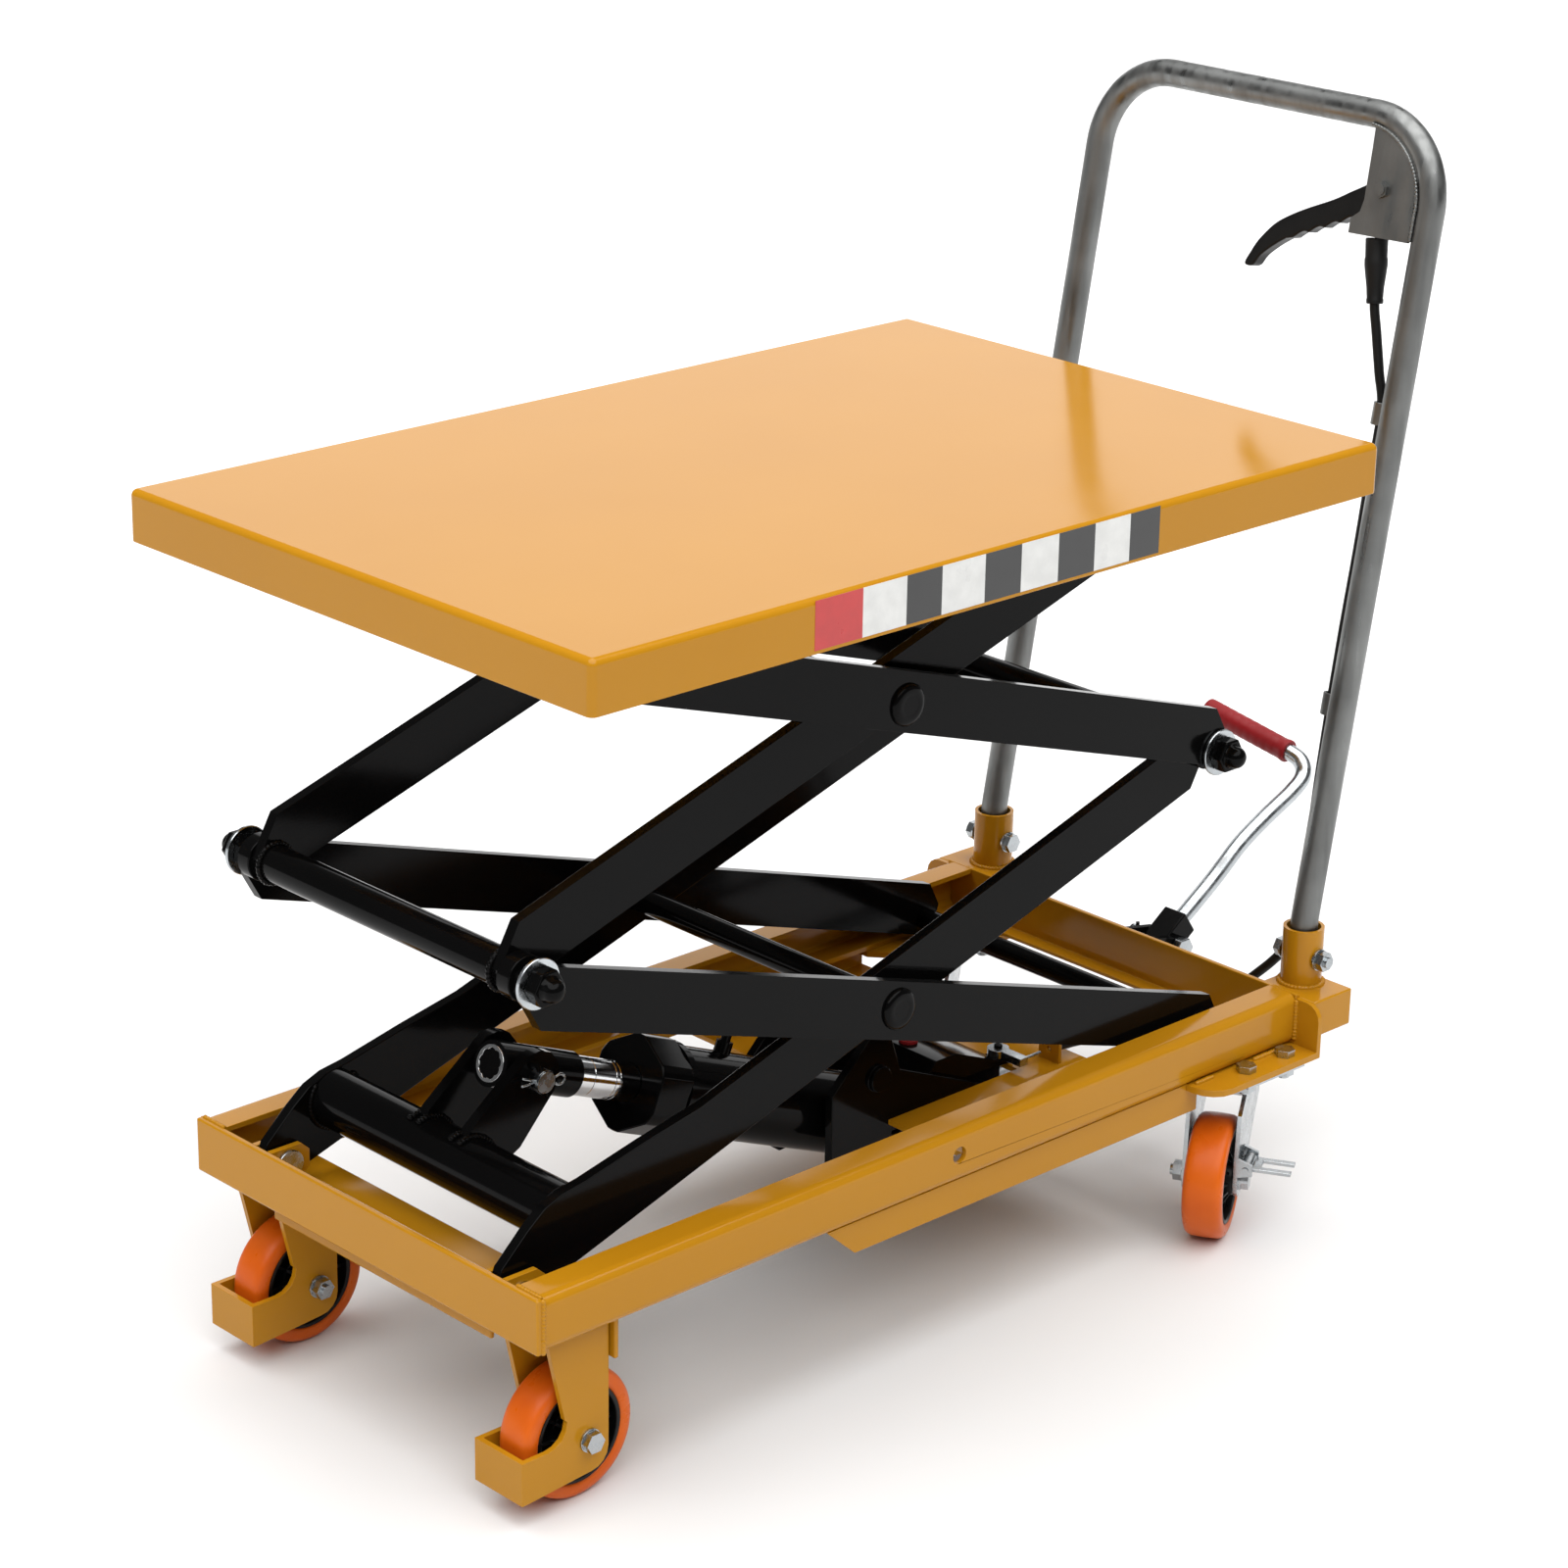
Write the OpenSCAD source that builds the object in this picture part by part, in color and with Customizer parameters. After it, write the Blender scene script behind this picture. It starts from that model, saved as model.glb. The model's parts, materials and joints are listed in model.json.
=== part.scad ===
// Hand hydraulic lift table: two scissor stages, a push handle, a foot pump and four wheels.
// It stands on z = 0 and +X points to the handle end. Left and right are those of the
// operator, who stands at the handle and looks along -X: the left side is at -Y.

/* [Deck] */
// Length of the deck
deck_l = 700; // [690:1:704]
// Width of the deck
deck_w = 450; // [440:1:480]
// Height of the deck's skirt
deck_h = 35; // [35:0.5:40]
// Sheet thickness of the deck
deck_t = 3; // [2.5:0.1:3]

/* [Scissors] */
// Length of an arm between its end pivots
arm_len = 655; // [650:0.5:656]
// Slope of the arms with the table as stored
rest_angle = 18.85; // [18:0.05:20]
// Depth of an arm's flat bar
arm_d = 40; // [38:0.5:41]
// Thickness of an arm's flat bar
arm_t = 8; // [7.6:0.1:8]

/* [Base frame] */
// Height of the rails' top face above the floor
base_top = 165; // [164:0.5:167]
// Height of the rails
rail_h = 38; // [37.5:0.5:38.5]
// Width over the rails
base_w = 350; // [348:1:354]

/* [Wheels] */
// Diameter of the wheels
wheel_d = 90; // [86:1:91]
// Width of the tyres
tyre_w = 29; // [26:0.5:29.5]
// Turn of the left caster from straight back
swivel_left = 30; // [-60:5:60]
// Turn of the right caster from straight back
swivel_right = 35; // [-60:5:60]

/* [Handle] */
// Height of the handle bar's centre line
handle_top = 773; // [740:1:820]
// Lean of the handle towards the operator
handle_lean = 9.9; // [8:0.1:11]

/* [Hidden] */
$fn = 48;

yellow = "#d39a24";
black = "#1c1c1e";
zinc = "#c3c6c8";
orange = "#ee7a1c";
fit = 0.05; // radial play of a running fit
clear = 0.3; // gap between pieces that move past each other

// Places along the table are given from the deck's centre
deck_x = -122;
function fx(v) = deck_x + v;
front_x = fx(-deck_l / 2);
front_t = 5;
rail_t = 4;
rail_flange = 25;
rail_y = base_w / 2;
rail_z = base_top - rail_h;
cross_x = fx(361);
cross_t = 4;
beam_x = cross_x + cross_t;
beam_l = 42;
beam_in = 137; // the handle stands on a box at each side, from this far out
beam_out = 189;
beam_top = base_top - 3;
beam_h = 28;
beam_wall = 2.5;

// Pivots of the two scissor stages, as [x, z]
run = arm_len * cos(rest_angle);
rise = arm_len * sin(rest_angle);
base_piv = [front_x + 26.5, base_top - rail_h / 2];
base_roll = base_piv + [run, 0];
low_mid = base_piv + [run, rise] / 2;
front_joint = base_piv + [0, rise];
rear_joint = base_piv + [run, rise];
up_mid = low_mid + [0, rise];
deck_piv = base_piv + [0, 2 * rise];
deck_roll = deck_piv + [run, 0];

inner_y = 116; // inside face of the inner arms
outer_y = 136; // inside face of the outer arms
end_lift = 6.5; // a bar's centre line stands this far off its base or deck pivot
joint_drop = 9.5; // and this far to the other side of its middle joint
pin_d = 14;
shaft_d = 18;
stud_d = 16;
boss_d = 30;
joint_rod_d = 25;
joint_play = 0.4; // radial play where the linkage is left open
axle_d = 16;

// Rollers
low_roller_d = rail_h - 2 * rail_t - 1;
roller_w = 19;
roller_y = 147;
roller_end = roller_y + roller_w + 1.5;
track_t = 2.3;
top_roller_d = 26;
top_play = 0.5;
deck_top = deck_piv[1] + top_roller_d / 2 + top_play + track_t + deck_t;
deck_z = deck_top - deck_h;

// Cross tube and lugs on the lower inner arms, in the arm's own axes
tube_at = [52, 17];
tube_r = 20;
lug_pin_at = [120.3, 41.3];
lug_r = 19;
lug_y = 17;
lug_t = 8;
lug_pin_d = 16;

// Hydraulic ram: places along its line, from the lug pin down to the rear
ram_slope = 22.6;
ram_at = base_piv + [
    lug_pin_at[0] * cos(rest_angle) - lug_pin_at[1] * sin(rest_angle),
    lug_pin_at[0] * sin(rest_angle) + lug_pin_at[1] * cos(rest_angle)
];
head_r = 15.5;
head_end = 51;
ram_r = 13.5;
gland_start = 107;
gland_l = 30;
barrel_r = 30;
bore_r = 25;
barrel_end = 325;
piston_at = 205;
trunnion_at = 349.8;
trunnion_d = 14;

// Pump, between two cradle plates
cradle_y = 38;
cradle_t = 7;
cradle_x = fx(25);
pump_x = fx(120);
pump_end = fx(200);
pump_low = 70;
pump_top = 134;
plunger_r = 7;
plunger_z = 86;
plunger_stroke = 37;

// Front wheels
wheel_r = wheel_d / 2;
wheel_x = fx(-297);
wheel_y = 139;
cheek_in = 19;
cheek_t = 4;
tyre_in = 34;
axle_bolt_d = 8;
hub_half = cheek_in - 1;

// Swivel casters
swivel_x = fx(320);
swivel_y = 150;
trail = 40;
mount_t = 5;
mount_z = rail_z - mount_t;
top_t = 3;
crown_z = mount_z - top_t - 14;
crown_t = 4;
king_d = 16;
fork_in = 17;
fork_t = 3;
hole_dx = 21;
hole_dy = 34;
brake_pivot = [-25.5, 58];
brake_x = -40;

// Handle: two legs in sockets on the rear beam
tube_d = 20;
tube_wall = 2;
leg_x = fx(390);
leg_y = 155;
bend_z = 209;
lean_r = 60;
corner_r = 60;
bar_s = (handle_top - bend_z) / cos(handle_lean); // along the leaning legs, from their bend
socket_r = 15;
socket_top = 205;
lever_pivot = [-117.5, 522.5];

// Foot pedal
pedal_at = [fx(415), 137];
pedal_lug = 54;
pedal_pin_d = 10;
pedal_back = 20; // the lug points this far back of straight down, in degrees
nose_r = 8;
ear_y = 11;
ear_t = 5;

// Route of the release cable, from the boot down the leg and under the cross plate to the pump
cable_r = 3.5;
clip_z = [572, 364];
cable_route = [
    [fx(467.8), -119.4, 654.3], [fx(465.6), -121.6, 642.4], [fx(464), -126, 626], [fx(461), -133, 600], [fx(458), -140, 572],
    [fx(449), -140, 520], [fx(441), -140, 470], [fx(432), -140, 420], [fx(423), -140, 364],
    [fx(414), -141, 310], [fx(407), -142, 260], [fx(403), -141, 225], [fx(402), -139, 200],
    [fx(402), -132, 180], [fx(402), -119, 163], [fx(400), -104, 147], [fx(395), -90, 132],
    [fx(385), -79, 120], [fx(367), -72, 115], [fx(345), -66, 113], [fx(320), -62, 113],
    [fx(300), -59, 114], [fx(275), -55, 116], [fx(255), -52, 117], [fx(242), -50, 117]
];

// ---------- helpers ----------
module both_sides() {
    children();
    mirror([0, 1, 0]) children();
}

// Stands an outline in X and Z up between two Y places
module slab(y0, y1) {
    translate([0, y1, 0]) rotate([90, 0, 0]) linear_extrude(y1 - y0) children();
}

// Runs an outline in Y and Z along X
module along_x(x0, x1) {
    translate([x0, 0, 0]) rotate([90, 0, 90]) linear_extrude(x1 - x0) children();
}

module at(p, y = 0) {
    translate([p[0], y, p[1]]) children();
}

module y_rod(d, y0, y1) {
    translate([0, y1, 0]) rotate([90, 0, 0]) cylinder(d = d, h = y1 - y0);
}

module y_hex(width, y0, y1) {
    translate([0, y1, 0]) rotate([90, 0, 0]) cylinder(d = width / cos(30), h = y1 - y0, $fn = 6);
}

module box(lo, hi) {
    translate(lo) cube(hi - lo);
}

// Points along a round corner
function arc(c, r, from, to, n = 4) =
    [for (i = [0 : n]) let (a = from + (to - from) * i / n) c + r * [cos(a), sin(a)]];

// A bolt along Y with a washer at each end: its head is below y = 0 and its nut beyond the grip
module y_bolt(d, grip) {
    wide = 1.6 * d;
    washer = 0.2 * d;
    y_rod(d, -washer, grip + 1.3 * d);
    y_rod(2 * d, -washer, 0);
    y_rod(2 * d, grip, grip + washer);
    y_hex(wide, -washer - 0.65 * d, -washer);
    y_hex(wide, grip + washer, grip + washer + 0.8 * d);
}

// A bolt down through a stack whose top face is at z = 0
module z_bolt(d, stack) {
    wide = 1.6 * d / cos(30);
    cylinder(d = wide, h = 0.65 * d, $fn = 6);
    translate([0, 0, -stack - 1.1 * d]) cylinder(d = d, h = stack + 1.2 * d);
    translate([0, 0, -stack - 0.8 * d]) cylinder(d = wide, h = 0.8 * d, $fn = 6);
}

// ---------- swept tubes ----------
function unit(v) = v / norm(v);

// A smooth curve through a route's points, cut into steps between each pair
function curve(p, steps) = concat(
    [for (i = [0 : len(p) - 2], k = [0 : steps - 1])
        let (t = k / steps, a = p[max(i - 1, 0)], b = p[i], c = p[i + 1], d = p[min(i + 2, len(p) - 1)])
        0.5 * (2 * b + (c - a) * t + (2 * a - 5 * b + 4 * c - d) * t * t
            + (3 * b - a - 3 * c + d) * t * t * t)],
    [p[len(p) - 1]]
);

module sweep(path, r, sides, side_hint) {
    n = len(path);
    rings = [for (i = [0 : n - 1])
        let (
            before = unit(path[max(i, 1)] - path[max(i, 1) - 1]),
            after = unit(path[min(i, n - 2) + 1] - path[min(i, n - 2)]),
            along = unit(before + after),
            a = unit(cross(along, side_hint)),
            b = cross(along, a)
        )
        for (k = [0 : sides - 1]) path[i] + r * (cos(360 * k / sides) * a + sin(360 * k / sides) * b)
    ];
    walls = [for (i = [0 : n - 2], k = [0 : sides - 1])
        let (j = (k + 1) % sides)
        [i * sides + j, i * sides + k, (i + 1) * sides + k, (i + 1) * sides + j]
    ];
    near = [for (k = [0 : sides - 1]) k];
    far = [for (k = [sides - 1 : -1 : 0]) (n - 1) * sides + k];
    polyhedron(points = rings, faces = concat(walls, [near, far]));
}

// ---------- scissor arms ----------
// A bar's side view: its base or deck pivot is at the origin and its middle joint at
// [arm_len, 0]. Its corners are cut so that it swings clear of the sheet beyond the pivot.
function mid_v(u) = end_lift - (end_lift + joint_drop) * u / arm_len;

module arm_outline(hump) {
    plain = [[-12, 12], [3, mid_v(0) + arm_d / 2]];
    humped = [[-12, 12], [-6, 19], [21, 31], [37, 36.5], [52, 37.2], [70, 34], [122, 28.5], [170, mid_v(170) + arm_d / 2]];
    polygon(concat(
        hump ? humped : plain,
        [[arm_len + 1, mid_v(arm_len) + arm_d / 2], [arm_len + 12, 3], [arm_len + 10, -8]],
        [[arm_len - 14, mid_v(arm_len) - arm_d / 2], [0, mid_v(0) - arm_d / 2], [-12, -5]]
    ));
}

module arm_bar(y0, end_bore, mid_bore, joint_bore, hump = false) {
    slab(y0, y0 + arm_t) difference() {
        arm_outline(hump);
        circle(d = end_bore);
        translate([arm_len / 2, 0]) circle(d = mid_bore);
        translate([arm_len, 0]) circle(d = joint_bore);
    }
}

// Puts a bar at its end pivot; back turns it to run forwards, down turns it to run downwards
module place_arm(p, back = false, down = false) {
    at(p) mirror([back ? 1 : 0, 0, 0]) mirror([0, 0, down ? 1 : 0]) rotate([0, -rest_angle, 0]) children();
}

module lower_inner_arms() {
    color(black) both_sides() place_arm(base_piv)
        arm_bar(inner_y, pin_d + 2 * fit, shaft_d, stud_d, hump = true);
}

module lower_outer_arms() {
    color(black) both_sides() place_arm(base_roll, back = true)
        arm_bar(outer_y, pin_d, shaft_d + 2 * fit, stud_d + 2 * fit);
}

module upper_inner_arms() {
    color(black) both_sides() place_arm(deck_roll, back = true, down = true)
        arm_bar(inner_y, pin_d, shaft_d, stud_d);
}

module upper_outer_arms() {
    color(black) both_sides() place_arm(deck_piv, down = true)
        arm_bar(outer_y, pin_d + 2 * fit, shaft_d + 2 * fit, stud_d + 2 * joint_play);
}

// Shaft through the crossing of two pairs of arms, with a spacer between the bars
module centre_shaft() {
    end = outer_y + arm_t + 1.5;
    y_rod(shaft_d, -end, end);
    both_sides() {
        y_rod(boss_d, inner_y + arm_t, outer_y - clear);
        y_rod(boss_d - 6, outer_y + arm_t + clear, end + 2);
    }
}

// Rod through a middle joint: thick between the inner bars, with a stud at each end
nut_y = outer_y + arm_t + clear + 2.5;
module joint_rod() {
    y_rod(joint_rod_d, -inner_y, inner_y);
    y_rod(stud_d, -nut_y - 11, nut_y + 11);
    both_sides() y_rod(boss_d, inner_y + arm_t, outer_y - clear);
}

module joint_nuts() {
    both_sides() difference() {
        union() {
            y_rod(33, nut_y - 2.5, nut_y);
            y_hex(24, nut_y, nut_y + 11);
            translate([0, nut_y + 11, 0]) sphere(r = 10.5);
        }
        y_rod(stud_d, nut_y - 3, nut_y + 11);
    }
}

module lower_cross_tubes() {
    color(black) place_arm(base_piv) translate([tube_at[0], 0, tube_at[1]]) difference() {
        y_rod(2 * tube_r, -inner_y, inner_y);
        y_rod(2 * tube_r - 7, -inner_y - 1, inner_y + 1);
    }
    color(black) at(low_mid) centre_shaft();
}

module rear_joint_rod() {
    color(black) at(rear_joint) joint_rod();
}

module rear_joint_nuts() {
    color(black) at(rear_joint) joint_nuts();
}

module front_joint_rod() {
    color(black) at(front_joint) joint_rod();
}

module front_joint_nuts() {
    color(black) at(front_joint) joint_nuts();
}

// An axle that ties two bars and carries a roller beyond each
module axle(bar_y) {
    y_rod(axle_d, -bar_y, bar_y);
    y_rod(pin_d, -roller_end, roller_end);
    both_sides() y_rod(pin_d + 5, bar_y + arm_t, roller_y - clear);
}

module roller_axle() {
    color(black) at(base_roll) axle(outer_y);
}

module upper_cross_rods() {
    color(black) at(up_mid) centre_shaft();
    color(black) at(deck_roll) axle(inner_y);
}

module roller(d) {
    difference() {
        y_rod(d, roller_y, roller_y + roller_w);
        y_rod(pin_d + 2 * fit, roller_y - 1, roller_y + roller_w + 1);
    }
}

module lower_roller_right() {
    color("#3a3a3c") at(base_roll) roller(low_roller_d);
}

module lower_roller_left() {
    mirror([0, 1, 0]) lower_roller_right();
}

module upper_roller_right() {
    color("#3a3a3c") at(deck_roll) roller(top_roller_d);
}

module upper_roller_left() {
    mirror([0, 1, 0]) upper_roller_right();
}

// Two plates welded to the cross tube, which carry the ram's pin
module ram_lugs() {
    color(black) place_arm(base_piv) {
        both_sides() slab(lug_y, lug_y + lug_t) difference() {
            polygon(concat(
                [tube_at + [3, 17], tube_at + [9, 23.5]],
                arc(lug_pin_at, lug_r, 125, -60, 6),
                [tube_at + [40, -13], tube_at + [18, -16]]
            ));
            translate(tube_at) circle(r = tube_r);
        }
        translate([lug_pin_at[0], 0, lug_pin_at[1]]) {
            y_rod(lug_pin_d, -lug_y - lug_t - 9, lug_y + lug_t);
            y_rod(lug_pin_d + 8, lug_y + lug_t, lug_y + lug_t + 5);
            translate([0, -lug_y - lug_t - 5, -13]) cylinder(d = 3.2, h = 26);
        }
    }
}

// ---------- hydraulic ram ----------
module on_ram() {
    at(ram_at) rotate([0, ram_slope, 0]) children();
}

module x_rod(r, x0, x1) {
    translate([x0, 0, 0]) rotate([0, 90, 0]) cylinder(r = r, h = x1 - x0);
}

module rod_head() {
    color(black) on_ram() difference() {
        x_rod(head_r, -20, head_end);
        y_rod(lug_pin_d + 2 * fit, -head_r - 1, head_r + 1);
    }
}

module piston_rod() {
    color(zinc) on_ram() {
        x_rod(ram_r, head_end, piston_at);
        x_rod(bore_r - fit, piston_at, piston_at + 20);
    }
}

module gland_nut() {
    color(black) on_ram() difference() {
        intersection() {
            translate([gland_start, 0, 0]) rotate([0, 90, 0]) cylinder(r = 36.5, h = gland_l, $fn = 6);
            x_rod(34, gland_start, gland_start + gland_l);
        }
        x_rod(ram_r + fit, gland_start - 1, gland_start + gland_l + 1);
    }
}

module cylinder_barrel() {
    barrel_start = gland_start + gland_l;
    bleed_at = 188;
    color(black) on_ram() difference() {
        union() {
            x_rod(barrel_r, barrel_start, barrel_end);
            x_rod(barrel_r + 3, barrel_start, barrel_start + 6);
            box([barrel_end - 1, -22, -14], [trunnion_at + 10, 22, 14]);
            translate([trunnion_at, 0, 0]) y_rod(trunnion_d, -cradle_y - 5, cradle_y + 5);
            translate([bleed_at, 0, barrel_r - 3]) cylinder(r = 6, h = 11);
            translate([bleed_at, 0, barrel_r]) cylinder(r = 3.5, h = 14);
        }
        x_rod(bore_r, barrel_start - 1, barrel_end - 8);
    }
}

// ---------- base frame ----------
module side_rails() {
    edge = 7;
    hole_at = [fx(17), 147];
    color(yellow) both_sides() difference() {
        along_x(front_x + front_t, cross_x) polygon(concat(
            [[rail_y - rail_flange, base_top]],
            arc([rail_y - edge, base_top - edge], edge, 90, 0),
            arc([rail_y - edge, rail_z + edge], edge, 0, -90),
            [
                [rail_y - rail_flange, rail_z], [rail_y - rail_flange, rail_z + rail_t],
                [rail_y - edge, rail_z + rail_t], [rail_y - rail_t, rail_z + edge],
                [rail_y - rail_t, base_top - edge], [rail_y - edge, base_top - rail_t],
                [rail_y - rail_flange, base_top - rail_t]
            ]
        ));
        at(hole_at) y_rod(12, rail_y - 10, rail_y + 1);
    }
}

// Front angle, and the channel below it that carries the front wheels
chan_t = 3.5;
chan_x = [fx(-335), fx(-276)];
module front_beam() {
    chan_y = 166;
    color(yellow) {
        box([front_x, -rail_y, rail_z], [front_x + front_t, rail_y, base_top]);
        box([front_x + front_t - 1, -rail_y + rail_flange, rail_z], [front_x + 30, rail_y - rail_flange, rail_z + rail_t]);
        box([chan_x[0], -chan_y, rail_z - chan_t], [chan_x[1], chan_y, rail_z]);
        box([chan_x[0], -112, 109], [chan_x[0] + chan_t, 112, rail_z - 1]);
        box([chan_x[1] - chan_t, -chan_y, 97], [chan_x[1], chan_y, rail_z - 1]);
    }
}

module front_wheel_brackets() {
    top = rail_z - chan_t;
    guard = 18;
    guard_top = 48;
    rear = fx(-281);
    outline = concat(
        [[fx(-330.5), top], [fx(-317), 66]],
        arc([fx(-331), 64], 16, 0, -90),
        [[front_x + 2, guard_top], [front_x + 2, guard]],
        arc([rear - 14, 36], 14, -90, 0),
        [[rear, top]]
    );
    color(yellow) both_sides() difference() {
        union() {
            for (y = [wheel_y - cheek_in - cheek_t, wheel_y + cheek_in])
                slab(y, y + cheek_t) polygon(outline);
            box([front_x - 2, wheel_y - cheek_in - cheek_t, guard], [front_x + 2, wheel_y + cheek_in + cheek_t, guard_top]);
        }
        at([wheel_x, wheel_r]) y_rod(axle_bolt_d + 0.5, wheel_y - 30, wheel_y + 30);
    }
}

module rear_cross_plate() {
    color(yellow) {
        box([cross_x, -rail_y, rail_z], [cross_x + cross_t, rail_y, base_top]);
        box([cross_x - 12, -rail_y + rail_flange, rail_z], [cross_x + 1, rail_y - rail_flange, rail_z + 3]);
    }
}

// A box behind the cross plate at each side, closed at its outer end
module handle_boxes() {
    color(yellow) both_sides() difference() {
        box([beam_x, beam_in, beam_top - beam_h], [beam_x + beam_l, beam_out, beam_top]);
        box(
            [beam_x + beam_wall, beam_in - 1, beam_top - beam_h + beam_wall],
            [beam_x + beam_l - beam_wall, beam_out - beam_wall, beam_top - beam_wall]
        );
    }
}

// Plates under the rails for the swivel casters, with an upright flange behind
module caster_mounts() {
    tip = fx(250);
    end = cross_x + cross_t;
    inside = 104;
    outside = 197;
    corner = 12;
    color(yellow) both_sides() difference() {
        union() {
            translate([0, 0, mount_z]) linear_extrude(mount_t) polygon(concat(
                [[end, inside], [tip + 40, inside]],
                [[tip, 150]],
                arc([tip + 20, outside - 20], 20, 180, 90),
                [[end, outside]]
            ));
            along_x(cross_x, end) polygon(concat(
                [[rail_y, rail_z - 1], [outside, rail_z - 1]],
                arc([outside - corner, beam_top - corner], corner, 0, 90),
                [[rail_y, beam_top]]
            ));
        }
        for (sx = [-1, 1], sy = [-1, 1])
            translate([swivel_x + sx * hole_dx, swivel_y + sy * hole_dy, mount_z - 1]) cylinder(d = 8.6, h = mount_t + 2);
    }
}

module caster_tops() {
    race_r = 23;
    color(zinc) both_sides() translate([swivel_x, swivel_y, 0]) difference() {
        union() {
            box([-31, -45, mount_z - top_t], [31, 45, mount_z]);
            translate([0, 0, crown_z + crown_t + clear]) cylinder(r = race_r, h = 14 - crown_t - clear + 0.5);
            translate([0, 0, crown_z - 8]) cylinder(d = king_d, h = 24);
            translate([0, 0, crown_z - 8]) cylinder(d = 27, h = 8 - clear, $fn = 6);
        }
        for (sx = [-1, 1], sy = [-1, 1])
            translate([sx * hole_dx, sy * hole_dy, mount_z - top_t - 1]) cylinder(d = 8.6, h = top_t + 2);
    }
}

module pivot_ears() {
    half = 12;
    color(yellow) both_sides() for (y = [110, 126.5])
        difference() {
            slab(y, y + 4.5) polygon([
                [front_x + front_t, base_piv[1] - half], [base_piv[0] + 11, base_piv[1] - half],
                [base_piv[0] + 17.5, base_piv[1] - 6], [base_piv[0] + 17.5, base_piv[1] + 6],
                [base_piv[0] + 11, base_piv[1] + half], [front_x + front_t, base_piv[1] + half]
            ]);
            at(base_piv) y_rod(pin_d, y - 1, y + 6);
        }
}

module base_pins() {
    color(zinc) both_sides() at(base_piv) {
        y_rod(pin_d, 110, 134);
        y_rod(pin_d + 7, 107, 110);
    }
}

module handle_sockets() {
    color(yellow) both_sides() translate([leg_x, leg_y, beam_top]) difference() {
        cylinder(r = socket_r, h = socket_top - beam_top);
        translate([0, 0, -1]) cylinder(r = socket_r - 2.5, h = socket_top - beam_top + 2);
        at([0, 21]) y_rod(8.6, -20, 20);
    }
}

// ---------- handle ----------
module on_handle() {
    translate([leg_x, 0, bend_z]) rotate([0, handle_lean, 0]) children();
}

// A point of the handle's plane: y across, s up along the leaning legs
function on_legs(y, s) = [leg_x + s * sin(handle_lean), y, bend_z + s * cos(handle_lean)];

// The tube's line from the foot of the +Y leg to that of the -Y leg
handle_foot = beam_top + 2;
function handle_half(side, foot) = let (half = lean_r * tan(handle_lean / 2)) concat(
    [[leg_x, side * leg_y, foot]],
    [for (i = [0 : 3]) let (a = handle_lean * i / 3) [
        leg_x + lean_r * (1 - cos(a)), side * leg_y, bend_z - half + lean_r * sin(a)
    ]],
    [for (i = [0 : 8]) let (a = 90 * i / 8)
        on_legs(side * (leg_y - corner_r * (1 - cos(a))), bar_s - corner_r * (1 - sin(a)))]
);

function reverse(list) = [for (i = [len(list) - 1 : -1 : 0]) list[i]];
function handle_line(foot) = concat(handle_half(1, foot), reverse(handle_half(-1, foot)));
handle_normal = [cos(handle_lean), 0, -sin(handle_lean)];

module handle() {
    color(zinc) difference() {
        sweep(handle_line(handle_foot), tube_d / 2, 20, handle_normal);
        sweep(handle_line(handle_foot - 2), tube_d / 2 - tube_wall, 12, handle_normal);
        both_sides() translate([leg_x, leg_y, beam_top + 21]) y_rod(8.6, -20, 20);
    }
}

// Two cheeks welded into the handle's corner, and the pin that the release lever turns on
lever_half = 5.5;
cheek_gap = 0.4;
module lever_bracket() {
    inside = lever_half + cheek_gap;
    color("#a9acae") difference() {
        on_handle() for (s = [-1, 1])
            translate([s > 0 ? inside : -inside - 3, 0, 0]) rotate([90, 0, 90]) linear_extrude(3) difference() {
                polygon([
                    [-146, 490], [-94, 488.5], [-94, 499], [-101, 504.5], [-103, 513], [-102.5, 550],
                    [-102, 566], [-130, 563], [-146, 545]
                ]);
                translate(lever_pivot) circle(d = 8);
            }
        sweep(handle_line(handle_foot), tube_d / 2, 20, handle_normal);
    }
    color(zinc) on_handle() translate([0, lever_pivot[0], lever_pivot[1]]) {
        x_rod(4, -13, 13);
        translate([-12, 0, 0]) rotate([0, 90, 0]) cylinder(r = 6, h = 3.1, $fn = 6);
        translate([8.9, 0, 0]) rotate([0, 90, 0]) cylinder(r = 6, h = 4, $fn = 6);
    }
}

module release_lever() {
    color(black) on_handle() translate([-lever_half, 0, 0]) rotate([90, 0, 90]) linear_extrude(2 * lever_half)
        difference() {
            polygon([
                [-127, 530.5], [-117, 534.5], [-107, 529], [-101, 524], [-87.6, 516.5], [-73.4, 508.5],
                [-51.3, 498.5], [-36.8, 491], [-24.2, 482.5], [-12.7, 469.5], [-7, 459.5], [-3.5, 452],
                [-5.6, 449.5], [-11.6, 451], [-17, 459], [-27.4, 468], [-37, 474.5], [-45, 476.5],
                [-58.8, 482.5], [-72, 489], [-84.7, 495.5], [-96.4, 500], [-103, 506], [-110, 511],
                [-117, 511.5], [-124, 511.5], [-129, 515]
            ]);
            translate(lever_pivot) circle(d = 8 + 2 * fit);
        }
}

boot_foot = [0, -121, 443];
boot_tilt = 10;
boot_l = 46;
module cable_boot() {
    color(black) on_handle() translate(boot_foot) rotate([-boot_tilt, 0, 0]) difference() {
        cylinder(r1 = 5.8, r2 = 8.4, h = boot_l);
        translate([0, 0, -1]) cylinder(r = cable_r + 0.8, h = boot_l + 2);
    }
}

module release_cable() {
    color(black) sweep(curve(cable_route, 3), cable_r, 8, [0, 1, 0]);
}

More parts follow.
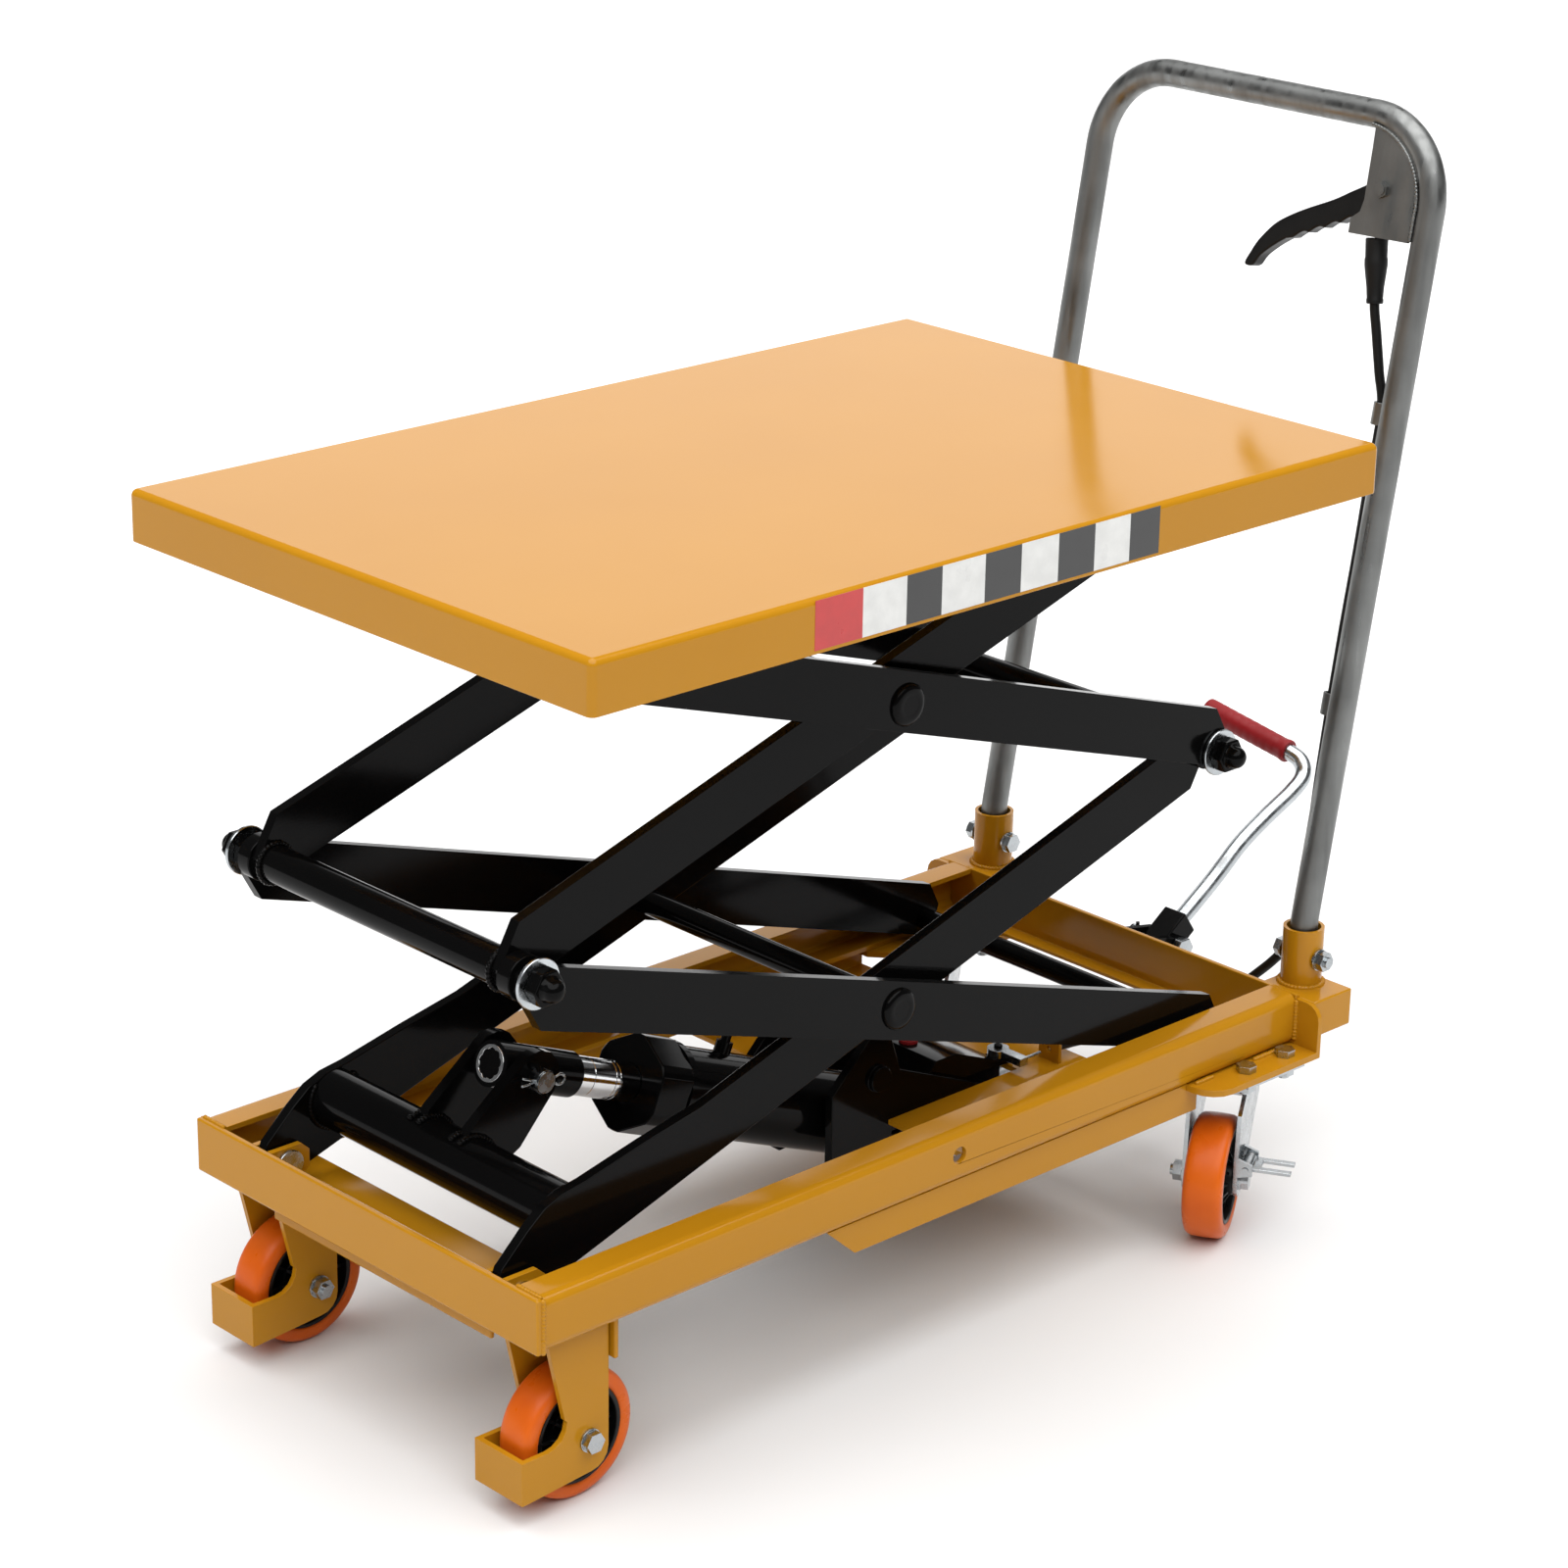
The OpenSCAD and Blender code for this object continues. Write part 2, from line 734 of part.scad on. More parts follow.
module cable_clips() {
    color(zinc) for (k = [0, 1]) {
        s = (clip_z[k] - bend_z) / cos(handle_lean);
        cable = cable_route[k == 0 ? 4 : 8];
        off = [(cable[0] - leg_x) * cos(handle_lean) - (clip_z[k] - bend_z) * sin(handle_lean), cable[1]];
        on_handle() translate([0, 0, s - 8]) difference() {
            union() {
                translate([off[0], off[1], 0]) cylinder(r = cable_r + 3.1, h = 16);
                translate([off[0] * 0.62, off[1] * 0.62 - leg_y * 0.38, 0]) cylinder(r = 4, h = 16);
            }
            translate([0, -leg_y, -1]) cylinder(d = tube_d, h = 18);
            translate([off[0], off[1], -1]) cylinder(r = cable_r + 1.4, h = 18);
        }
    }
}

// Every bolt of the frame: handle, casters and front axles
module frame_bolts() {
    color(zinc) both_sides() {
        translate([leg_x, leg_y - socket_r, beam_top + 21]) y_bolt(8, 2 * socket_r);
        for (sx = [-1, 1], sy = [-1, 1])
            translate([swivel_x + sx * hole_dx, swivel_y + sy * hole_dy, rail_z]) z_bolt(8, mount_t + top_t);
        at([wheel_x, wheel_r], wheel_y + cheek_in + cheek_t) mirror([0, 1, 0])
            y_bolt(axle_bolt_d, 2 * (cheek_in + cheek_t));
    }
}

// ---------- pump ----------
module pump_tray() {
    low = 104;
    side_y = 167;
    floor_x = fx(80);
    end = fx(262);
    pump_room = cradle_y + cradle_t;
    color(yellow) {
        both_sides() slab(side_y, side_y + 4) polygon([
            [fx(-101), rail_z], [fx(-75), low], [end, low], [end, mount_z], [fx(250), mount_z],
            [fx(250), rail_z]
        ]);
        difference() {
            box([floor_x, -side_y, low], [end, side_y, low + 4]);
            box([floor_x - 1, -pump_room, low - 1], [pump_end + 10, pump_room, low + 5]);
        }
        difference() {
            box([fx(238), -60, low + 4], [fx(241), -40, low + 20]);
            translate([fx(237), -50, 117]) x_rod(2, 0, 5);
        }
    }
}

module pump_cradle() {
    trunnion = ram_at + trunnion_at * [cos(ram_slope), -sin(ram_slope)];
    color(black) {
        both_sides() slab(cradle_y, cradle_y + cradle_t) difference() {
            polygon([
                [cradle_x, 84], [cradle_x, 141], [cradle_x + 35, 175], [cradle_x + 57, 169],
                [cradle_x + 66, 143], [pump_end, pump_low + 26], [pump_end, pump_low],
                [cradle_x + 30, pump_low - 8]
            ]);
            translate(trunnion + [-16, -16]) square([24, 24]);
        }
        both_sides() at([cradle_x + 44, 143]) y_rod(19, cradle_y + cradle_t, cradle_y + cradle_t + 4);
    }
}

module pump_block() {
    plunger_hole = 75;
    bolts = [[fx(128), 84], [fx(146), 84], [fx(164), 84], [fx(188), 84]];
    color(black) difference() {
        union() {
            slab(-cradle_y, cradle_y) polygon([
                [pump_x, pump_low], [pump_x, pump_top - 16], [pump_x + 14, pump_top], [pump_x + 34, pump_top],
                [pump_end, 115], [pump_end, pump_low]
            ]);
            box([pump_end - 1, -36, 109.5], [pump_end + 16, -20, 113.5]);
            translate([pump_end - 1, 0, plunger_z]) x_rod(14, 0, 9);
        }
        translate([pump_end - plunger_hole, 0, plunger_z]) x_rod(plunger_r + fit, 0, plunger_hole + 10);
    }
    color(black) translate([pump_end + 8, -28, 113.5]) cylinder(r = 3, h = 8.5);
    color(zinc) both_sides() {
        for (place = bolts)
            at(place) y_hex(11, cradle_y + cradle_t, cradle_y + cradle_t + 5);
    }
}

module plunger() {
    reach = pedal_at[0] + pedal_lug * sin(pedal_back) - nose_r - 1.6;
    color(zinc) translate([0, 0, plunger_z]) {
        x_rod(plunger_r, pump_end - 30, reach);
    }
}

module valve_arm() {
    color(zinc) difference() {
        union() {
            translate([pump_end + 8, -28, 113.8]) cylinder(r = 8, h = 6);
            box([pump_end + 4, -54, 113.8], [pump_end + 12, -28, 119.8]);
            translate([pump_end + 11, -50, 117]) x_rod(1.2, 0, 18);
        }
        translate([pump_end + 8, -28, 113]) cylinder(r = 3 + fit, h = 9);
    }
}

// ---------- foot pedal ----------
module pedal_bracket() {
    back = cross_x + cross_t;
    color(black) box([back, -30, rail_z + 2], [back + 5, 30, base_top - 6]);
    color(black) both_sides() difference() {
        slab(ear_y, ear_y + ear_t) polygon([
            [back + 4, rail_z + 2], [pedal_at[0] - 8, pedal_at[1] - 8], [pedal_at[0] + 4, pedal_at[1] - 8],
            [pedal_at[0] + 8, pedal_at[1] - 4], [pedal_at[0] + 8, pedal_at[1] + 4], [pedal_at[0] + 4, pedal_at[1] + 8],
            [back + 4, base_top - 10]
        ]);
        at(pedal_at) y_rod(pedal_pin_d + 0.4, ear_y - 1, ear_y + ear_t + 1);
    }
    color(zinc) at(pedal_at) {
        y_rod(pedal_pin_d, -ear_y - ear_t, ear_y + ear_t + 14);
        y_hex(16, -ear_y - ear_t - 7, -ear_y - ear_t);
        translate([0, ear_y + ear_t + 9, -8]) cylinder(d = 3, h = 16);
    }
}

pedal_rod_r = 6.5;
pedal_route = [
    [fx(425), 0, 143], [fx(470), 0, 172], [fx(500), 0, 194], [fx(530), 0, 209.5], [fx(558), 0, 222],
    [fx(572), 1, 231], [fx(577), 7, 240], [fx(577), 20, 245.5], [fx(577), 60, 252], [fx(577), 100, 258.5]
];
module pedal_lever() {
    down = [sin(pedal_back), -cos(pedal_back)];
    side = [cos(pedal_back), sin(pedal_back)];
    nose = pedal_at + pedal_lug * down;
    block_slope = 35;
    color(black) difference() {
        union() {
            at(pedal_at) rotate([0, -block_slope, 0]) box([-12, -ear_y + 0.6, -10.3], [24, ear_y - 0.6, 10.3]);
            slab(-8, 8) polygon([pedal_at - 6 * side, nose - 6 * side, nose + 6 * side, pedal_at + 6 * side]);
            at(nose) y_rod(2 * nose_r, -8, 8);
        }
        at(pedal_at) y_rod(pedal_pin_d + 2 * fit, -ear_y, ear_y);
    }
    color(zinc) sweep(curve(pedal_route, 4), pedal_rod_r, 16, unit([0.5, -0.5, 1]));
}

module pedal_grip() {
    tail = pedal_route[len(pedal_route) - 1];
    start = pedal_route[7];
    v = tail - start;
    color("#c0392b") translate(start) rotate([0, acos(v[2] / norm(v)), atan2(v[1], v[0])]) difference() {
        cylinder(r = 8.5, h = norm(v) + 4);
        translate([0, 0, -1]) cylinder(r = pedal_rod_r + 0.8, h = norm(v) + 1.3);
    }
}

// ---------- deck ----------
module deck() {
    edge = 5;
    x0 = front_x;
    x1 = front_x + deck_l;
    y1 = deck_w / 2;
    color(yellow) difference() {
        hull() for (x = [x0 + edge, x1 - edge], y = [edge - y1, y1 - edge]) {
            translate([x, y, deck_top - edge]) sphere(r = edge, $fn = 32);
            translate([x, y, deck_z]) cylinder(r = edge, h = 1, $fn = 32);
        }
        box([x0 + deck_t, deck_t - y1, deck_z - 1], [x1 - deck_t, y1 - deck_t, deck_top - deck_t]);
    }
}

// Channels that the upper rollers run in
module deck_tracks() {
    top = deck_top - deck_t;
    low = top - 2 * track_t - top_roller_d - 2 * top_play;
    inside = roller_y + 2;
    outside = roller_end + 3 + track_t;
    color(yellow) both_sides() along_x(fx(100), fx(346)) polygon([
        [inside, top], [outside, top], [outside, low], [inside, low], [inside, low + track_t],
        [outside - track_t, low + track_t], [outside - track_t, top - track_t], [inside, top - track_t]
    ]);
}

module deck_ears() {
    ear_r = 11.5;
    color(yellow) both_sides() for (y = [130, 146])
        difference() {
            slab(y, y + 4.5) {
                translate(deck_piv) circle(r = ear_r);
                polygon([
                    deck_piv + [-ear_r, 0], [deck_piv[0] - 18, deck_top - deck_t],
                    [deck_piv[0] + 22, deck_top - deck_t], deck_piv + [ear_r, 0]
                ]);
            }
            at(deck_piv) y_rod(pin_d, y - 1, y + 6);
        }
    color(zinc) both_sides() at(deck_piv) y_rod(pin_d, 128, 153);
}

// ---------- wheels ----------
module spin(r_list) {
    rotate([90, 0, 0]) rotate_extrude() polygon(r_list);
}

module tyre() {
    w = tyre_w / 2;
    spin(concat(
        [[tyre_in, -w + 1.5], [tyre_in + 2, -w]],
        arc([wheel_r - 5, -w + 5], 5, -90, 0),
        arc([wheel_r - 5, w - 5], 5, 0, 90),
        [[tyre_in + 2, w], [tyre_in, w - 1.5]]
    ));
}

module hub() {
    rim = tyre_w / 2 - 1;
    web = 4;
    bore = axle_bolt_d / 2 + fit;
    spin([
        [bore, -hub_half], [12, -hub_half], [14, -web], [28, -web], [30, -rim], [tyre_in, -rim],
        [tyre_in, rim], [30, rim], [28, web], [14, web], [12, hub_half], [bore, hub_half]
    ]);
}

module at_front_wheel(side) {
    translate([wheel_x, side * wheel_y, wheel_r]) children();
}

module at_caster(side) {
    translate([swivel_x, side * swivel_y, 0]) rotate(side < 0 ? swivel_left : swivel_right) children();
}

module at_caster_wheel(side) {
    at_caster(side) translate([-trail, 0, wheel_r]) children();
}

module caster_hub() {
    intersection() {
        hub();
        cube([200, 2 * fork_in - 1, 200], center = true);
    }
}

module front_tyre_left() { color(orange) at_front_wheel(-1) tyre(); }
module front_tyre_right() { color(orange) at_front_wheel(1) tyre(); }
module front_hub_left() { color(black) at_front_wheel(-1) hub(); }
module front_hub_right() { color(black) at_front_wheel(1) hub(); }
module caster_tyre_left() { color(orange) at_caster_wheel(-1) tyre(); }
module caster_tyre_right() { color(orange) at_caster_wheel(1) tyre(); }
module caster_hub_left() { color(black) at_caster_wheel(-1) caster_hub(); }
module caster_hub_right() { color(black) at_caster_wheel(1) caster_hub(); }

// Fork with its axle bolt, and the two ears and pin that the brake turns on
module caster_fork() {
    foot_r = 13;
    top = crown_z + crown_t;
    leg = concat(
        [[-30, top], [-48, top - 12], [-trail - foot_r, 62]],
        arc([-trail, wheel_r], foot_r, 180, 315),
        [[9, 76], [22, top - 22], [24, top - 8], [20, top]]
    );
    color(zinc) {
        difference() {
            union() {
                both_sides() slab(fork_in, fork_in + fork_t) polygon(leg);
                box([-30, -fork_in - 0.5, crown_z], [20, fork_in + 0.5, top]);
                cylinder_at(0, crown_z, 24, crown_t);
            }
            translate([0, 0, crown_z - 1]) cylinder(d = king_d + 2 * fit, h = crown_t + 2);
            at([-trail, wheel_r]) y_rod(axle_bolt_d + 0.4, -30, 30);
        }
        at([-trail, wheel_r], -fork_in - fork_t) y_bolt(axle_bolt_d, 2 * (fork_in + fork_t));
        for (x = [brake_x - 14, brake_x + 11])
            difference() {
                along_x(x, x + 3) polygon([
                    [-fork_in - fork_t, brake_pivot[1] - 6], [brake_pivot[0] - 5, brake_pivot[1] - 4],
                    [brake_pivot[0] - 5, brake_pivot[1] + 4], [-fork_in - fork_t, brake_pivot[1] + 8]
                ]);
                translate([x - 1, brake_pivot[0], brake_pivot[1]]) x_rod(2.5, 0, 5);
            }
        translate([brake_x - 15, brake_pivot[0], brake_pivot[1]]) x_rod(2.5, 0, 30);
    }
}

module cylinder_at(x, z, r, h) {
    translate([x, 0, z]) cylinder(r = r, h = h);
}

// Foot brake with two prongs
module brake() {
    half = 10.6;
    reach = 32;
    color(zinc) translate([brake_x, brake_pivot[0], brake_pivot[1]]) difference() {
        union() {
            x_rod(4.5, -half, half);
            box([-half, -reach, -1.6], [half, -1, 1]);
        }
        x_rod(2.5 + fit, -half - 1, half + 1);
        box([-5.6, -reach - 1, -4], [5.6, -10, 2]);
    }
}

module caster_fork_left() { at_caster(-1) caster_fork(); }
module caster_fork_right() { at_caster(1) caster_fork(); }
module brake_left() { at_caster(-1) brake(); }
module brake_right() { at_caster(1) brake(); }

// ---------- drawing ----------
side_rails();
front_beam();
front_wheel_brackets();
rear_cross_plate();
handle_boxes();
caster_mounts();
caster_tops();
handle_sockets();
handle();
frame_bolts();
lever_bracket();
cable_boot();
release_cable();
cable_clips();
pump_tray();
pump_cradle();
pump_block();
pedal_bracket();
pivot_ears();
base_pins();
lower_inner_arms();
lower_cross_tubes();
ram_lugs();
rear_joint_rod();
rear_joint_nuts();
rod_head();
piston_rod();
cylinder_barrel();
gland_nut();
lower_outer_arms();
roller_axle();
lower_roller_left();
lower_roller_right();
upper_inner_arms();
upper_cross_rods();
front_joint_rod();
front_joint_nuts();
upper_roller_left();
upper_roller_right();
upper_outer_arms();
deck();
deck_tracks();
deck_ears();
front_tyre_left();
front_tyre_right();
front_hub_left();
front_hub_right();
caster_fork_left();
caster_fork_right();
caster_tyre_left();
caster_tyre_right();
caster_hub_left();
caster_hub_right();
brake_left();
brake_right();
pedal_lever();
pedal_grip();
plunger();
release_lever();
valve_arm();
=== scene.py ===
"""Hand hydraulic scissor lift table: materials, softened edges and fine detail around the fixed frame."""
import json
import math
import random

import bmesh
import bpy
from mathutils import Matrix, Vector


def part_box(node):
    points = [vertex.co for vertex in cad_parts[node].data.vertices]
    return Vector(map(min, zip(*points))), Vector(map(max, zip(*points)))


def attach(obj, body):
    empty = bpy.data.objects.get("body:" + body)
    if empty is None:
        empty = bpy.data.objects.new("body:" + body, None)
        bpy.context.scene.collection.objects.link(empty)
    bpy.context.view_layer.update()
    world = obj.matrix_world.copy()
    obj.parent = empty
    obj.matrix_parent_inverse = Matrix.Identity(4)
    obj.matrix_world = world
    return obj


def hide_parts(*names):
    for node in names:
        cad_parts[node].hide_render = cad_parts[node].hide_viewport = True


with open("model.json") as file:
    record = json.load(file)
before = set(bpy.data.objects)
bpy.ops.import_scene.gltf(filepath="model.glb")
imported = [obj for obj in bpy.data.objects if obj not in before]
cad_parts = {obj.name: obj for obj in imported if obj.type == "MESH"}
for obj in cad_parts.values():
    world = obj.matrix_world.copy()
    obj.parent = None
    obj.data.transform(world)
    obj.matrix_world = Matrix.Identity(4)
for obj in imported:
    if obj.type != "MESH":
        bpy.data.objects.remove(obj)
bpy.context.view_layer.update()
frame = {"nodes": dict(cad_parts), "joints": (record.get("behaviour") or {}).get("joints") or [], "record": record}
NODES = frame["nodes"]
JOINTS = {j["name"]: j for j in frame["joints"]}
BODY_OF = {n: b for b, ns in frame["record"]["behaviour"]["bodies"].items() for n in ns}
SLOT_OF = {s["node"]: s["material_slot"] for s in frame["record"]["subparts"]}
MM = 0.001
X, Y, Z = Vector((1, 0, 0)), Vector((0, 1, 0)), Vector((0, 0, 1))


def joint_at(name):
    return Vector(JOINTS[name]["pos_m"])


def joint_axis(name):
    return Vector(JOINTS[name]["axis"]).normalized()


# ---------- camera ----------
CAMERA_AT = Vector((-1.915, -1.8926, 1.3378))
YAW, PITCH, ROLL = math.radians(46.285), math.radians(-20.453), math.radians(1.008)
LENS = 95.0
camera = bpy.data.objects.new("camera", bpy.data.cameras.new("camera"))
camera.data.lens = LENS
camera.data.sensor_width = 36.0
look = Vector((math.cos(PITCH) * math.cos(YAW), math.cos(PITCH) * math.sin(YAW), math.sin(PITCH)))
side = look.cross(Z).normalized()
up = side.cross(look)
right = side * math.cos(ROLL) + up * math.sin(ROLL)
top = up * math.cos(ROLL) - side * math.sin(ROLL)
camera.matrix_world = Matrix.Translation(CAMERA_AT) @ Matrix((right, top, -look)).transposed().to_4x4()
bpy.context.scene.collection.objects.link(camera)
bpy.context.scene.camera = camera


# ---------- materials ----------
class Shader:
    """A material with a Principled shader and short ways to add what varies over it."""

    def __init__(self, name, colour, metallic=0.0, roughness=0.4, **sockets):
        self.material = bpy.data.materials.new(name)
        self.material.use_nodes = True
        self.tree = self.material.node_tree
        self.bsdf = self.tree.nodes["Principled BSDF"]
        self.bsdf.inputs["Base Color"].default_value = (*colour, 1)
        self.bsdf.inputs["Metallic"].default_value = metallic
        self.bsdf.inputs["Roughness"].default_value = roughness
        for socket, value in sockets.items():
            self.bsdf.inputs[socket.replace("_", " ")].default_value = value
        self.coords = self.tree.nodes.new("ShaderNodeTexCoord").outputs["Object"]
        self.height = None

    def new(self, kind, **inputs):
        node = self.tree.nodes.new(kind)
        for socket, value in inputs.items():
            socket = socket.replace("_", " ")
            if hasattr(value, "is_linked"):
                self.tree.links.new(value, node.inputs[socket])
            else:
                node.inputs[socket].default_value = value
        return node

    def noise(self, scale, detail=3.0, stretch=(1, 1, 1)):
        place = self.new("ShaderNodeMapping", Vector=self.coords, Scale=stretch)
        node = self.new("ShaderNodeTexNoise", Vector=place.outputs[0], Scale=scale, Detail=detail)
        return node.outputs["Fac"]

    def ramp(self, value, stops):
        node = self.new("ShaderNodeValToRGB", Fac=value)
        elements = node.color_ramp.elements
        while len(elements) < len(stops):
            elements.new(0.5)
        for element, (place, colour) in zip(elements, stops):
            element.position = place
            element.color = (*colour, 1) if len(colour) == 3 else colour
        return node.outputs["Color"]

    def span(self, value, low, high, start=0.0, end=1.0):
        node = self.new("ShaderNodeMapRange", Value=value)
        node.inputs["From Min"].default_value = start
        node.inputs["From Max"].default_value = end
        node.inputs["To Min"].default_value = low
        node.inputs["To Max"].default_value = high
        return node.outputs[0]

    def to(self, socket, value):
        self.tree.links.new(value, self.bsdf.inputs[socket])

    def bump(self, value, distance, strength=1.0):
        node = self.new("ShaderNodeBump", Height=value, Strength=strength, Distance=distance)
        if self.height:
            self.tree.links.new(self.height, node.inputs["Normal"])
        self.height = node.outputs[0]
        self.to("Normal", self.height)


def painted(name, colour, deep, roughness, gloss):
    """Glossy enamel: slow changes of tone, orange peel and dust in the gloss."""
    s = Shader(name, colour, roughness=roughness, Specular_IOR_Level=gloss)
    s.to("Base Color", s.ramp(s.noise(5, 3), [(0.3, deep), (0.7, colour)]))
    s.to("Roughness", s.span(s.noise(30, 4), roughness * 0.9, roughness * 1.12, 0.3, 0.7))
    s.bump(s.noise(700, 2), 0.00004, 0.25)
    s.bump(s.noise(28, 2), 0.0003, 0.06)
    return s.material


def plated(name, colour, roughness, brushed=(1, 1, 1)):
    """Bare or plated metal, with fine drawn lines and cloudy patches in its gloss."""
    s = Shader(name, colour, metallic=1.0, roughness=roughness)
    s.to("Base Color", s.ramp(s.noise(25, 5), [(0.3, tuple(0.72 * c for c in colour)), (0.7, colour)]))
    s.to("Roughness", s.span(s.noise(120, 4, brushed), roughness * 0.6, roughness * 1.5, 0.3, 0.7))
    s.bump(s.noise(900, 2, brushed), 0.00005, 0.3)
    return s.material


def moulded(name, colour, roughness, grain, **sockets):
    """Moulded plastic or rubber, with a fine grain and a mottled gloss."""
    s = Shader(name, colour, roughness=roughness, **sockets)
    s.to("Base Color", s.ramp(s.noise(18, 5), [(0.3, tuple(0.8 * c for c in colour)), (0.7, colour)]))
    s.to("Roughness", s.span(s.noise(60, 4), roughness * 0.8, roughness * 1.25, 0.3, 0.7))
    s.bump(s.noise(grain, 3), 0.00015, 0.35)
    return s.material


def tyre_rubber():
    """Cast polyurethane: a warm orange that is slightly cloudy, with a scuffed tread."""
    s = Shader("orange_polyurethane", (0.66, 0.115, 0.004), roughness=0.3, Specular_IOR_Level=0.25)
    s.to("Base Color", s.ramp(s.noise(22, 5), [(0.3, (0.60, 0.092, 0.003)), (0.7, (0.70, 0.13, 0.006))]))
    s.to("Roughness", s.span(s.noise(70, 5), 0.24, 0.46, 0.3, 0.7))
    s.bump(s.noise(260, 3), 0.0001, 0.3)
    return s.material


MATERIALS = {
    "yellow_paint": painted("amber_enamel", (0.47, 0.21, 0.007), (0.45, 0.198, 0.006), 0.14, 0.24),
    "black_paint": painted("black_enamel", (0.0030, 0.0029, 0.0030), (0.0021, 0.0021, 0.0021), 0.11, 0.08),
    "zinc_plate": plated("bright_zinc", (0.52, 0.55, 0.57), 0.24),
    "grey_tube": plated("silver_grey_tube", (0.235, 0.24, 0.235), 0.42, (1, 1, 0.06)),
    "chrome": plated("hard_chrome", (0.78, 0.79, 0.80), 0.09, (1, 1, 1)),
    "black_rubber": moulded("black_sheath", (0.005, 0.005, 0.005), 0.5, 700, Specular_IOR_Level=0.25),
    "black_plastic": moulded("black_nylon", (0.004, 0.004, 0.004), 0.34, 500, Specular_IOR_Level=0.25),
    "orange_tyre": tyre_rubber(),
    "roller_steel": plated("turned_steel", (0.30, 0.30, 0.31), 0.34),
    "red_rubber": moulded("red_sleeve", (0.27, 0.008, 0.011), 0.48, 350, Specular_IOR_Level=0.25),
}


# ---------- ways to make and place pieces ----------
def add(name, mesh, body, slot, stands_for=(), smooth_angle=40):
    piece = bpy.data.objects.new(name, mesh)
    bpy.context.scene.collection.objects.link(piece)
    mesh.materials.clear()
    mesh.materials.append(MATERIALS[slot])
    soften(mesh, smooth_angle)
    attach(piece, body)
    if stands_for:
        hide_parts(*stands_for)
    return piece


def soften(mesh, angle):
    """Smooth shading, with a crease wherever two faces meet at more than the angle."""
    bm = bmesh.new()
    bm.from_mesh(mesh)
    for face in bm.faces:
        face.smooth = True
    for edge in bm.edges:
        edge.smooth = len(edge.link_faces) == 2 and edge.calc_face_angle(0) < math.radians(angle)
    bm.to_mesh(mesh)
    bm.free()


def bevel(piece, width, segments=2, angle=32):
    tool = piece.modifiers.new("edges", "BEVEL")
    tool.width = width
    tool.segments = segments
    tool.limit_method = "ANGLE"
    tool.angle_limit = math.radians(angle)
    tool.use_clamp_overlap = True
    tool.miter_outer = "MITER_ARC"
    normals = piece.modifiers.new("normals", "WEIGHTED_NORMAL")
    normals.keep_sharp = True
    return piece


def rounded(node, width):
    """The CAD node's own shape with its knife edges broken, as rolled and pressed steel has them."""
    mesh = NODES[node].data.copy()
    bm = bmesh.new()
    bm.from_mesh(mesh)
    bmesh.ops.remove_doubles(bm, verts=bm.verts, dist=1e-6)
    bmesh.ops.dissolve_limit(bm, angle_limit=math.radians(0.6), verts=bm.verts, edges=bm.edges)
    bm.to_mesh(mesh)
    bm.free()
    piece = add(node + "_edged", mesh, BODY_OF[node], SLOT_OF[node], (node,), 34)
    return bevel(piece, width)


def from_bmesh(bm):
    bmesh.ops.recalc_face_normals(bm, faces=bm.faces)
    mesh = bpy.data.meshes.new("mesh")
    bm.to_mesh(mesh)
    bm.free()
    return mesh


def across(axis):
    """Two unit vectors square to the axis and to each other."""
    guide = Z if abs(axis.normalized().z) < 0.9 else X
    a = axis.cross(guide).normalized()
    return a, axis.cross(a).normalized()


def lathe(profile, centre, axis, steps=64):
    """Turns (distance along the axis, radius) points about the axis. A radius of 0 closes an end."""
    axis = axis.normalized()
    a, b = across(axis)
    bm = bmesh.new()
    rings = []
    for along, radius in profile:
        if radius <= 0:
            rings.append([bm.verts.new(centre + axis * along)])
            continue
        rings.append([
            bm.verts.new(centre + axis * along + radius * (math.cos(t) * a + math.sin(t) * b))
            for t in (2 * math.pi * k / steps for k in range(steps))
        ])
    closed = len(rings[0]) > 1 and len(rings[-1]) > 1
    pairs = list(zip(rings, rings[1:])) + ([(rings[-1], rings[0])] if closed else [])
    for low, high in pairs:
        for k in range(steps):
            n = (k + 1) % steps
            loop = [low[k % len(low)], low[n % len(low)], high[n % len(high)], high[k % len(high)]]
            face = [v for i, v in enumerate(loop) if v not in loop[:i]]
            bm.faces.new(face)
    return bm


def smooth_path(points, steps):
    """A Catmull-Rom curve through the points."""
    path = []
    for i in range(len(points) - 1):
        a, b = points[max(i - 1, 0)], points[i]
        c, d = points[i + 1], points[min(i + 2, len(points) - 1)]
        for k in range(steps):
            t = k / steps
            path.append(0.5 * (2 * b + (c - a) * t + (2 * a - 5 * b + 4 * c - d) * t * t
                               + (3 * b - a - 3 * c + d) * t ** 3))
    return path + [points[-1]]


